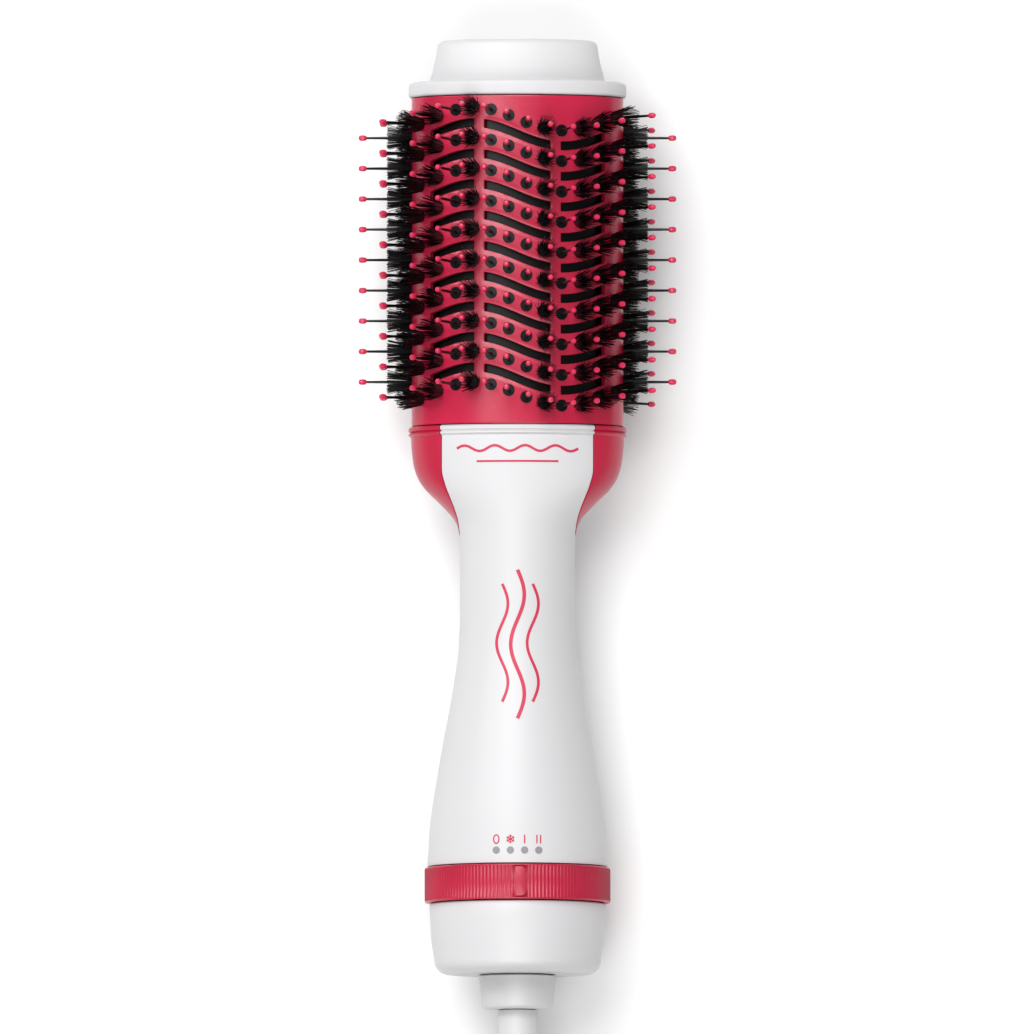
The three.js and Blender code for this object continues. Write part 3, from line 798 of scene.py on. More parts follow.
    def _shell(self, face: Face) -> None:
        """Makes one half shell with its wavy air slots."""
        shape = self._waved_sheet(face, 0.0, self.slot_width, self.parting, self.slot_groups)
        thicken(shape, self.wall, self.lip, self._outside)
        name = f"barrel_shell_{face.label}"
        node = f"barrel_{face.label}"
        finish_piece(shape, name, CRIMSON_COAT, Body.TOOL, self.tool, (node,))

    def _bed(self, face: Face) -> None:
        """Makes the black bed under one half shell, which carries the pins and screens the heater."""
        shape = self._waved_sheet(face, self.wall + 1.6, self.slot_width, 3.0, ())
        thicken(shape, 1.4, 0.0, self._outside)
        name = f"pin_bed_{face.label}"
        finish_piece(shape, name, BLACK_NYLON, Body.TOOL, self.tool)

    def _strip(self, label: str, sign: int) -> None:
        """Makes the black bar that carries the pins of one side."""
        shape = bmesh.new()
        bmesh.ops.create_cube(shape, size=1.0)
        middle = Vector((sign * (self.half_width - self.wall - 1.3), 0, (self.foot + self.top) / 2))
        size = Matrix.Diagonal((1.5, 4.8, self.top - self.foot - 4, 1.0))
        bmesh.ops.transform(shape, matrix=Matrix.Translation(middle) @ size, verts=shape.verts[:])
        bmesh.ops.bevel(
            shape, geom=shape.edges[:], offset=0.3, affect="EDGES", segments=2, profile=0.5, material=-1
        )
        node = f"bristle_strip_{label}"
        finish_piece(shape, f"side_bar_{label}", BLACK_NYLON, Body.TOOL, self.tool, (node,))

    def _pins(self, label: str, places: Sequence[Matrix], replaces: Sequence[str]) -> None:
        """Makes the bosses, stalks and round tips of one set of pins.

        Args:
            label: which set.
            places: a transform for each pin.
            replaces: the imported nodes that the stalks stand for.
        """
        stalk = bmesh.new()
        tip_half = 1.45
        reach = self.pin_length - tip_half
        bmesh.ops.create_cone(
            stalk, cap_ends=True, segments=16, radius1=self.boss_radius, radius2=self.boss_radius - 0.15,
            depth=2.2, matrix=Matrix.Translation((0, 0, -0.85)),
        )
        bmesh.ops.create_cone(
            stalk, cap_ends=True, segments=7, radius1=0.62, radius2=0.42,
            depth=reach + 0.5, matrix=Matrix.Translation((0, 0, (reach - 0.5) / 2)),
        )
        pins = repeated(stalk, places)
        finish_piece(pins, f"pins_{label}", BLACK_NYLON, Body.TOOL, self.tool, replaces)

        ball = [(0.0, -1.0), (0.62, -0.94), (0.95, -0.62), (1.06, 0.0), (0.98, 0.55), (0.66, 0.92), (0.0, 1.0)]
        tip = spun([(r, reach + tip_half * z) for r, z in ball], 10)
        tips = repeated(tip, places)
        finish_piece(tips, f"pin_tips_{label}", TIP_NYLON, Body.TOOL, self.tool)

    def _tufts(self, label: str, places: Sequence[Matrix]) -> None:
        """Makes one set of tufts, each a splayed bunch of fine hairs round its pin.

        Args:
            label: which set.
            places: a transform for each tuft.
        """
        draw = random.Random(11)
        tuft = bmesh.new()
        golden = math.pi * (3 - math.sqrt(5))
        for k in range(self.tuft_hairs):
            share = math.sqrt((k + 0.5) / self.tuft_hairs)
            angle = k * golden
            radius = 0.7 + 1.6 * share
            lean = math.radians(2 + 11 * share + draw.uniform(-3, 3))
            length = self.tuft_length * draw.uniform(0.92, 1.0)
            root = Vector((radius * math.cos(angle), radius * math.sin(angle), -0.2))
            rise = Vector((math.sin(lean) * math.cos(angle), math.sin(lean) * math.sin(angle), math.cos(lean)))
            turn = rise.to_track_quat("Z", "Y").to_matrix().to_4x4()
            middle = Matrix.Translation(root + rise * length / 2)
            bmesh.ops.create_cone(
                tuft, cap_ends=True, segments=3, radius1=0.18, radius2=0.12, depth=length, matrix=middle @ turn
            )
        shape = repeated(tuft, places)
        finish_piece(shape, f"tufts_{label}", BRISTLE_NYLON, Body.TOOL, self.tool)


# ---------------------------------------------------------------- tip


@dataclass
class Tip:
    """The cool tip: a flange that closes the barrel, and the cap that stands on it.

    Attributes:
        tool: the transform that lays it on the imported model.
        flange_bottom: where the flange starts along the tool.
        flange_top: where it ends.
        flange_half_width: half the flange's width.
        flange_half_depth: half its depth.
        cap_top: the cap's flat end.
        inset: how much less deep than wide the cap is, each way.
    """

    tool: Matrix
    flange_bottom: float = 324.1
    flange_top: float = 329.4
    flange_half_width: float = 38.7
    flange_half_depth: float = 21.05
    cap_top: float = 344.5
    inset: float = 17.65

    def build(self) -> None:
        """Makes the flange and the cap."""
        self._flange()
        self._cap()

    def _flange(self) -> None:
        """Makes the oval flange, with soft edges."""
        edge, low, high = self.flange_half_width, self.flange_bottom, self.flange_top
        profile = rounded([(0, low), (edge, low), (edge, high), (0, high)], {1: 1.0, 2: 1.5})
        shape = spun(profile, 128)
        squash = Matrix.Diagonal((1, self.flange_half_depth / edge, 1, 1))
        bmesh.ops.transform(shape, matrix=squash, verts=shape.verts[:])
        finish_piece(shape, "tip_end_ring", WHITE_ABS, Body.TOOL, self.tool, ("tip_flange",))

    def _cap(self) -> None:
        """Makes the cap: a shallow cup, flat-topped, that narrows towards its end."""
        low, high = self.flange_top + 0.3, self.cap_top
        outer = [(31.4, low), (30.9, low + 1.2), (30.1, low + 4.0), (28.85, low + 9.6), (28.2, high)]
        profile = rounded([*outer, (0, high), (0, high - 2.4), (25.6, high - 2.4), (28.9, low)], {4: 2.6}, 6)
        shape = spun(profile, 128)
        for vert in shape.verts:
            width = between([(low, 31.4), (low + 4.0, 30.1), (low + 9.6, 28.85), (high, 28.0)], vert.co.z)
            vert.co.y *= (width - self.inset) / width
        finish_piece(shape, "tip_cup", WHITE_ABS, Body.TOOL, self.tool, ("tip_cap",))


# ---------------------------------------------------------------- handle


@dataclass
class Handle:
    """The handle's two white halves, the crimson wings of the shoulder, and the print on them.

    Attributes:
        tool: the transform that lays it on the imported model.
        outline: (distance along the tool, half width) of the outside.
        panel: (distance along the tool, half width) of the white panel on the shoulder.
        depth: the shoulder's half depth below its bead.
        wall: thickness of the shells.
        foot: where the outside starts, over the selector ring.
        top: where the shells end under the barrel.
        wing_foot: where the wings end in points.
        groove: where the groove runs round the bead.
        seam: half the gap between neighbouring shells.
        screws: where the two screws stand across the back.
        screw_height: where they stand along the tool.
        screw_bore: radius of each screw's hole.
    """

    tool: Matrix
    outline: Outline = (
        (50.6, 31.95), (52.2, 31.9), (63.9, 31.2), (74.6, 29.8), (85.2, 28.05), (95.9, 26.2), (106.5, 24.15),
        (117.2, 22.35), (127.8, 20.95), (138.5, 20.4), (160.0, 20.4), (166.9, 20.5), (170.4, 20.95),
        (174.0, 22.5), (177.5, 25.5), (181.1, 29.1), (184.6, 32.7), (188.2, 35.15), (191.7, 36.5),
        (195.3, 37.25), (202.4, 37.8), (204.0, 37.8),
    )
    panel: Outline = (
        (168.0, 20.45), (173.0, 21.2), (177.0, 22.4), (181.0, 24.0), (185.0, 25.6), (191.0, 27.0),
        (206.9, 27.0),
    )
    depth: float = 20.4
    wall: float = 2.0
    foot: float = 50.6
    top: float = 206.75
    wing_foot: float = 168.0
    groove: float = 204.75
    seam: float = 0.13
    screws: tuple[float, ...] = (-21.5, 21.5)
    screw_height: float = 63.0
    screw_bore: float = 2.6

    def half_width(self, z: float) -> float:
        """Half the handle's width at a height, without its bead."""
        return between(self.outline, z)

    def bead(self, z: float) -> float:
        """How far the bead stands proud at a height, with the groove that runs round it."""
        rise = min(1.0, max(0.0, (z - 203.1) / 0.7), max(0.0, (self.top + 0.25 - z) / 0.7))
        dip = max(0.0, 1 - abs(z - self.groove) / 0.42)
        return 0.9 * max(0.0, rise) - 0.75 * dip

    def half_depth(self, z: float) -> float:
        """Half the handle's depth at a height: round up to the shoulder, then level."""
        width = self.half_width(z)
        return width if z < 150 else min(width, self.depth)

    def on_surface(self, x: float, z: float, face: Face, lift: float = 0.0) -> Vector:
        """The point of the outside at one width and height.

        Args:
            x: the width.
            z: the height along the tool.
            face: front or back.
            lift: how far above the surface.

        Returns:
            The point in the tool's frame.
        """
        bead = self.bead(z) if z > 200 else 0.0
        a, b = self.half_width(z) + bead, self.half_depth(z) + bead
        y = b * math.sqrt(max(0.0, 1 - (x / a) ** 2))
        outward = Vector((x / a**2, y / b**2, 0)).normalized()
        return Vector((x + outward.x * lift, face.value * (y + outward.y * lift), z))

    def _edge_angle(self, z: float, grow: float) -> float:
        """The eccentric angle of the white panel's edge, with the seam taken off or added on."""
        width = self.half_width(z)
        if z <= self.wing_foot:
            return math.pi / 2 - self.seam / width
        share = min(1.0, (between(self.panel, z) + grow) / width)
        return min(math.asin(share), math.pi / 2 - self.seam / width)

    def _ring_place(self, angle: float, z: float, face: Face) -> Vector:
        """The outside point at an eccentric angle from the middle of a face."""
        bead = self.bead(z) if z > 200 else 0.0
        a, b = self.half_width(z) + bead, self.half_depth(z) + bead
        return Vector((math.sin(angle) * a, face.value * math.cos(angle) * b, z))

    def _outside(self, point: Vector) -> Vector:
        """The outward direction of the shell through a point, level with the tool's axis."""
        a, b = self.half_width(point.z), self.half_depth(point.z)
        return Vector((point.x / a**2, point.y / b**2, 0)).normalized()

    def _rows(self, low: float) -> list[float]:
        """The heights of the grid's rows, close together where the bead and groove are."""
        bead = [203.1, 203.8, self.groove - 0.42, self.groove, self.groove + 0.42, 206.3, self.top]
        return spread([low, max(low + 0.5, 174.0), 190.0, *bead], 1.6)

    def build(self) -> None:
        """Makes the white halves, the wings and the print."""
        for face in Face:
            self._half(face)
        for label, sign in (("left", -1), ("right", 1)):
            self._wing(label, sign)
        self._neck()
        self._marks()
        self._motifs()

    def _half(self, face: Face) -> None:
        """Makes one white half, from the selector ring to the barrel."""
        rows = spread([self.foot, self.wing_foot], 3.2)[:-1] + self._rows(self.wing_foot)
        columns = spread([-1.0, 1.0], 0.034)

        def place(s: float, z: float) -> Vector:
            """The point of the half at a share of its width, from -1 to 1, and a height."""
            return self._ring_place(s * self._edge_angle(z, -self.seam), z, face)

        shape = sheet(columns, rows, place)
        thicken(shape, self.wall, 0.22, self._outside)
        name, node = f"handle_half_{face.label}", f"handle_{face.label}"
        if face is Face.BACK:
            shape = self._with_screw_holes(shape)
        finish_piece(shape, name, WHITE_ABS, Body.TOOL, self.tool, (node,))

    def _with_screw_holes(self, shape: bmesh.types.BMesh) -> bmesh.types.BMesh:
        """Bores the two screw holes of the back half and adds the sleeve inside each.

        Args:
            shape: the back half, which is freed.

        Returns:
            The bored half.
        """
        bore = bmesh.new()
        for x in self.screws:
            bmesh.ops.create_cone(
                bore, cap_ends=True, segments=32, radius1=self.screw_bore, radius2=self.screw_bore, depth=24.0,
                matrix=Matrix.Translation((x, 24.0, self.screw_height)) @ Matrix.Rotation(math.pi / 2, 4, "X"),
            )
        result = without(shape, bore)
        for x in self.screws:
            reach = self.on_surface(abs(x) + self.screw_bore + 0.7, self.screw_height, Face.BACK).y - 1.2
            inner, outer = self.screw_bore + 0.01, self.screw_bore + 0.9
            sleeve = spun([(inner, 10.6), (outer, 10.6), (outer, reach), (inner, reach)], 32)
            upright = Matrix.Translation((x, 0, self.screw_height)) @ Matrix.Rotation(-math.pi / 2, 4, "X")
            bmesh.ops.transform(sleeve, matrix=upright, verts=sleeve.verts[:])
            append(result, sleeve)
        return result

    def _wing(self, label: str, sign: int) -> None:
        """Makes one crimson wing, over the side of the shoulder from panel to panel."""
        rows = self._rows(self.wing_foot + 0.2)
        columns = spread([-1.0, 1.0], 0.05)

        def place(s: float, z: float) -> Vector:
            """The point of the wing at a share of its way round, from -1 to 1, and a height."""
            room = math.pi / 2 - self._edge_angle(z, self.seam)
            angle = math.pi / 2 - abs(s) * room
            point = self._ring_place(angle, z, Face.FRONT if s < 0 else Face.BACK)
            point.x *= sign
            return point

        shape = sheet(columns, rows, place)
        thicken(shape, self.wall, 0.2, self._outside)
        name, node = f"shoulder_side_{label}", f"shoulder_wing_{label}"
        finish_piece(shape, name, CRIMSON_ABS, Body.TOOL, self.tool, (node,))

    def _neck(self) -> None:
        """Makes the neck under the selector ring, which shows in the gaps beside it."""
        shape = spun([(26.9, 37.8), (28.9, 37.8), (28.9, 50.5), (31.0, 50.9), (31.0, 53.0), (26.9, 53.0)], 96)
        finish_piece(shape, "ring_neck", WHITE_ABS, Body.TOOL, self.tool)

    def _printed(self, name: str, finish: Finish, drawings: Iterable[bmesh.types.BMesh]) -> None:
        """Wraps flat drawings on the front of the handle as ink.

        Args:
            name: the piece's name.
            finish: the ink.
            drawings: flat meshes whose x is the width and y the height along the tool.
        """
        ink = bmesh.new()
        for drawing in drawings:
            append(ink, drawing)
        for vert in ink.verts:
            vert.co = self.on_surface(vert.co.x, vert.co.y, Face.FRONT, 0.05)
        lifted = bmesh.ops.extrude_face_region(ink, geom=ink.faces[:], use_keep_orig=True)
        for vert in (g for g in lifted["geom"] if isinstance(g, bmesh.types.BMVert)):
            vert.co.y -= 0.05
        bmesh.ops.recalc_face_normals(ink, faces=ink.faces[:])
        finish_piece(ink, name, finish, Body.TOOL, self.tool)

    def _ribbon(self, line: Callable[[float], Vector], width: float, steps: int) -> bmesh.types.BMesh:
        """Draws a ribbon of even width along a flat line.

        Args:
            line: the point for a share of the line, from nought to one.
            width: the ribbon's width.
            steps: stretches along it.

        Returns:
            The flat mesh.
        """

        def place(side: float, share: float) -> Vector:
            """The point of the ribbon at a side, from -1 to 1, and a share of its length."""
            ahead = line(min(1.0, share + 0.01)) - line(max(0.0, share - 0.01))
            across = Vector((ahead.y, -ahead.x, 0)).normalized()
            return line(share) + across * side * width / 2

        return sheet([-1.0, 0.0, 1.0], spread([0.0, 1.0], 1 / steps), place)

    def _ring_mark(self, x: float, z: float, a: float, b: float, width: float) -> bmesh.types.BMesh:
        """Draws an oval outline, as in a nought."""

        def line(share: float) -> Vector:
            """The oval's point at a share of the way round."""
            turn = math.tau * share
            return Vector((x + a * math.sin(turn), z + b * math.cos(turn), 0))

        shape = self._ribbon(line, width, 32)
        bmesh.ops.remove_doubles(shape, verts=shape.verts[:], dist=0.03)
        return shape

    def _bar_mark(self, x: float, z: float, length: float, angle: float, width: float) -> bmesh.types.BMesh:
        """Draws a short straight bar, turned from upright by an angle."""
        way = Vector((math.sin(angle), math.cos(angle), 0))
        return self._ribbon(lambda s: Vector((x, z, 0)) + way * (s - 0.5) * length, width, 4)

    def _marks(self) -> None:
        """Prints the four settings over their dots: off, cool, low and high."""
        step, height, dot_height = math.radians(9.17), 58.9, 55.0
        radius = self.half_width(height)
        x_off, x_cool, x_low, x_high = (radius * math.sin(step * k) for k in (-1.5, -0.5, 0.5, 1.5))
        marks = [self._ring_mark(x_off, height, 0.95, 1.5, 0.45)]
        marks += [self._bar_mark(x_cool, height, 3.1, math.radians(60 * k), 0.42) for k in range(3)]
        for k in range(6):
            way = math.radians(60 * k)
            x, z = x_cool + 1.05 * math.sin(way), height + 1.05 * math.cos(way)
            marks += [self._bar_mark(x, z, 1.1, way + math.radians(side), 0.3) for side in (-90,)]
        marks.append(self._bar_mark(x_low, height, 3.0, 0.0, 0.5))
        marks += [self._bar_mark(x_high + side, height, 3.0, 0.0, 0.45) for side in (-0.65, 0.65)]
        self._printed("setting_marks", RED_INK, marks)

        dots = []
        for x in (x_off, x_cool, x_low, x_high):
            dot = bmesh.new()
            bmesh.ops.create_circle(dot, cap_ends=True, cap_tris=True, segments=28, radius=1.3)
            bmesh.ops.translate(dot, vec=(x, dot_height, 0), verts=dot.verts[:])
            dots.append(dot)
        self._printed("setting_dots", GREY_INK, dots)

    def _motifs(self) -> None:
        """Prints plain air-flow waves where a maker would put a name."""

        def flow(x: float, low: float, high: float, swing: float) -> Callable[[float], Vector]:
            """Gives an upright wavy line of one and a half swings."""

            def line(share: float) -> Vector:
                """The wave's point at a share of its length."""
                z = low + (high - low) * share
                return Vector((x + swing * math.sin(math.tau * 1.5 * share), z, 0))

            return line

        drawings = [
            self._ribbon(flow(-5.4, 108.0, 150.0, 2.0), 1.0, 60),
            self._ribbon(flow(0.0, 102.0, 155.0, 2.4), 1.3, 72),
            self._ribbon(flow(5.4, 108.0, 150.0, 2.0), 1.0, 60),
        ]

        def ripple(share: float) -> Vector:
            """The level wave's point at a share of its length."""
            return Vector((-21.5 + 43.0 * share, 198.2 + 1.0 * math.sin(math.tau * 4 * share), 0))

        drawings.append(self._ribbon(ripple, 0.9, 96))
        drawings.append(self._ribbon(lambda s: Vector((-14.5 + 29.0 * s, 193.6, 0)), 0.7, 40))
        self._printed("flow_motif", RED_INK, drawings)


# ---------------------------------------------------------------- selector ring


@dataclass
class Selector:
    """The ribbed crimson ring that sets the heat, with the raised pointer on its front.

    Attributes:
        tool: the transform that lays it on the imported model.
        bottom: where it starts along the tool.
        top: where it ends.
        radius: radius over the ribs.
        bore: radius of the bore.
        ribs: how many ribs go round.
        rib_depth: how deep the valleys between them are.
        pointer_angle: how far round from the front the pointer stands, in degrees.
    """

    tool: Matrix
    bottom: float = 37.8
    top: float = 50.2
    radius: float = 32.95
    bore: float = 29.3
    ribs: int = 152
    rib_depth: float = 0.42
    field_depth: float = 0.6
    pointer_angle: float = 2.0
    pointer_span: float = 4.7

    def build(self) -> None:
        """Makes the ring and its pointer."""
        self._ring()
        self._pointer()

    def _ring(self) -> None:
        """Makes the ribbed ring: a spun band whose outside is fluted between its two rims."""
        rim = 0.5
        low, high, edge = self.bottom, self.top, self.radius
        profile = rounded(
            [
                (self.bore, low), (edge - 0.1, low), (edge - 0.1, low + rim), (edge, low + rim + 0.15),
                (edge, high - rim - 0.15), (edge - 0.1, high - rim), (edge - 0.1, high), (self.bore, high),
            ],
            {1: 0.3, 6: 0.3},
            3,
        )
        shape = spun(profile, self.ribs * 4)
        half = math.radians(self.pointer_span)
        for vert in shape.verts:
            radius = math.hypot(vert.co.x, vert.co.y)
            if radius < edge - 0.02 or not low + rim < vert.co.z < high - rim:
                continue
            angle = math.atan2(vert.co.x, -vert.co.y)
            wave = math.cos(angle * self.ribs)
            dip = self.rib_depth * (1 - max(-0.35, min(0.75, wave)) / 0.75) / 1.5
            if abs(angle - math.radians(self.pointer_angle)) < half:
                dip = self.field_depth
            vert.co.xy *= (radius - dip) / radius
        finish_piece(
            shape, "heat_ring", CRIMSON_ABS, Body.SELECTOR, self.tool, ("selector_ring",)
        )

    def _pointer(self) -> None:
        """Makes the raised pointer: straight on the left and rounded on the right."""
        shape = bmesh.new()
        left, right, low, high, turn = -1.95, 2.05, self.bottom + 1.0, self.top - 1.0, 1.9
        points = [(left, low), (right - turn, low)]
        step = math.pi / 12
        points += [(right - turn + turn * math.sin(k * step), low + turn - turn * math.cos(k * step))
                   for k in range(1, 7)]
        points += [(right - turn + turn * math.cos(k * step), high - turn + turn * math.sin(k * step))
                   for k in range(0, 6)]
        points += [(right - turn, high), (left, high)]
        face = shape.faces.new([shape.verts.new((x, -self.radius + 0.6, z)) for x, z in points])
        grown = bmesh.ops.extrude_face_region(shape, geom=[face], use_keep_orig=True)
        top = [g for g in grown["geom"] if isinstance(g, bmesh.types.BMVert)]
        bmesh.ops.translate(shape, vec=(0, -0.9, 0), verts=top)
        bmesh.ops.recalc_face_normals(shape, faces=shape.faces[:])
        rims = [e for e in shape.edges if all(v in top for v in e.verts)]
        bmesh.ops.bevel(
            shape, geom=rims, offset=0.16, affect="EDGES", segments=2, profile=0.5, material=-1
        )
        turned = Matrix.Rotation(math.radians(self.pointer_angle), 4, "Z")
        bmesh.ops.transform(shape, matrix=turned, verts=shape.verts[:])
        finish_piece(shape, "heat_pointer", CRIMSON_ABS, Body.SELECTOR, self.tool)


# ---------------------------------------------------------------- base and swivel


@dataclass
class Base:
    """The base cap with its air intake, the swivel neck and the cord's strain relief.

    Attributes:
        tool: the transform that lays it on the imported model.
        bottom: the cap's flat underside.
        top: where it meets the selector ring.
        slots: intake slots round the underside.
        relief_end: where the strain relief ends.
    """

    tool: Matrix
    bottom: float = 12.4
    top: float = 37.4
    slots: int = 20
    relief_end: float = -46.0

    def build(self) -> None:
        """Makes the cap, the neck and the strain relief."""
        self._cap()
        self._neck()
        self._relief()

    def _cap(self) -> None:
        """Makes the cap: a round cup with slots in its underside."""
        low, high = self.bottom, self.top
        side = [(29.55, 17.5), (30.2, 21.5), (30.7, 25.5), (31.0, 31.5), (31.25, high - 0.5), (31.0, high)]
        flat_end, bend, step = 24.6, 5.0, math.pi / 14
        corner = [(flat_end + bend * math.sin(k * step), low + bend - bend * math.cos(k * step)) for k in range(7)]
        floor_lines = [(11.6, low), (16.6, low), (22.4, low)]
        outside = spun_sheet([*floor_lines, *corner, *side], 240)
        cut = []
        for face in outside.faces:
            middle = face.calc_center_median()
            turn = math.degrees(math.atan2(middle.y, middle.x)) * self.slots / 360 % 1.0
            if middle.z < low + 0.01 and 16.5 < math.hypot(middle.x, middle.y) < 22.5 and 0.28 < turn < 0.72:
                cut.append(face)
        bmesh.ops.delete(outside, geom=cut, context="FACES")
        wall = 2.1

        def way_out(point: Vector) -> Vector:
            """The outward direction: down on the floor, level on the side, in between on the bend."""
            flat = Vector((point.x, point.y, 0))
            share = min(1.0, max(0.0, (point.z - low) / bend))
            floor_share = min(1.0, max(0.0, (flat.length - flat_end) / 4.6))
            level = flat.normalized() * max(share, floor_share * 0.7)
            return (level + Vector((0, 0, -1)) * (1 - share)).normalized()

        thicken(outside, wall, 0.18, way_out)
        finish_piece(outside, "base_cup", WHITE_ABS, Body.TOOL, self.tool, ("base_cap",))

    def _neck(self) -> None:
        """Makes the swivel neck, widest where it turns in the cap."""
        profile = rounded(
            [(4.2, 0.0), (12.35, 0.0), (13.85, 11.9), (11.2, 11.9), (11.2, 24.0), (4.2, 24.0)],
            {0: 0.5, 1: 1.7, 2: 0.4},
            5,
        )
        shape = spun(profile, 96)
        finish_piece(shape, "swivel_collar", WHITE_ABS, Body.SWIVEL, self.tool, ("swivel_neck",))

    def _relief(self) -> None:
        """Makes the tapered strain relief, with shallow flex grooves along it."""
        profile: list[tuple[float, float]] = [(0, -0.3), (7.0, -0.3), (7.1, -0.8), (7.1, -11.0)]
        taper = [(-46.0, 4.5), (-20.0, 6.5), (-12.0, 7.1)]
        for k in range(7):
            z = -13.5 - 4.5 * k
            profile += [(between(taper, z), z), (between(taper, z - 0.5) - 0.8, z - 0.5)]
            profile += [(between(taper, z - 1.5) - 0.8, z - 1.5), (between(taper, z - 2.0), z - 2.0)]
        profile += [(4.5, self.relief_end + 0.6), (4.1, self.relief_end), (0, self.relief_end)]
        shape = spun(profile, 48)
        finish_piece(shape, "cord_relief", WHITE_PVC, Body.SWIVEL, self.tool, ("strain_relief",))


def spun_sheet(profile: Outline, steps: int) -> bmesh.types.BMesh:
    """Spins an open profile into an open sheet.

    Args:
        profile: (radius, height) points, none on the axis.
        steps: faces round the full turn.

    Returns:
        The open sheet.
    """
    shape = bmesh.new()
    points = [shape.verts.new((r, 0.0, z)) for r, z in profile]
    edges = [shape.edges.new(pair) for pair in zip(points, points[1:])]
    bmesh.ops.spin(
        shape, geom=points + edges, axis=(0, 0, 1), cent=(0, 0, 0), angle=math.tau, steps=steps, use_merge=True
    )
    bmesh.ops.remove_doubles(shape, verts=shape.verts[:], dist=1e-4)
    bmesh.ops.recalc_face_normals(shape, faces=shape.faces[:])
    return shape


# ---------------------------------------------------------------- cord and plug


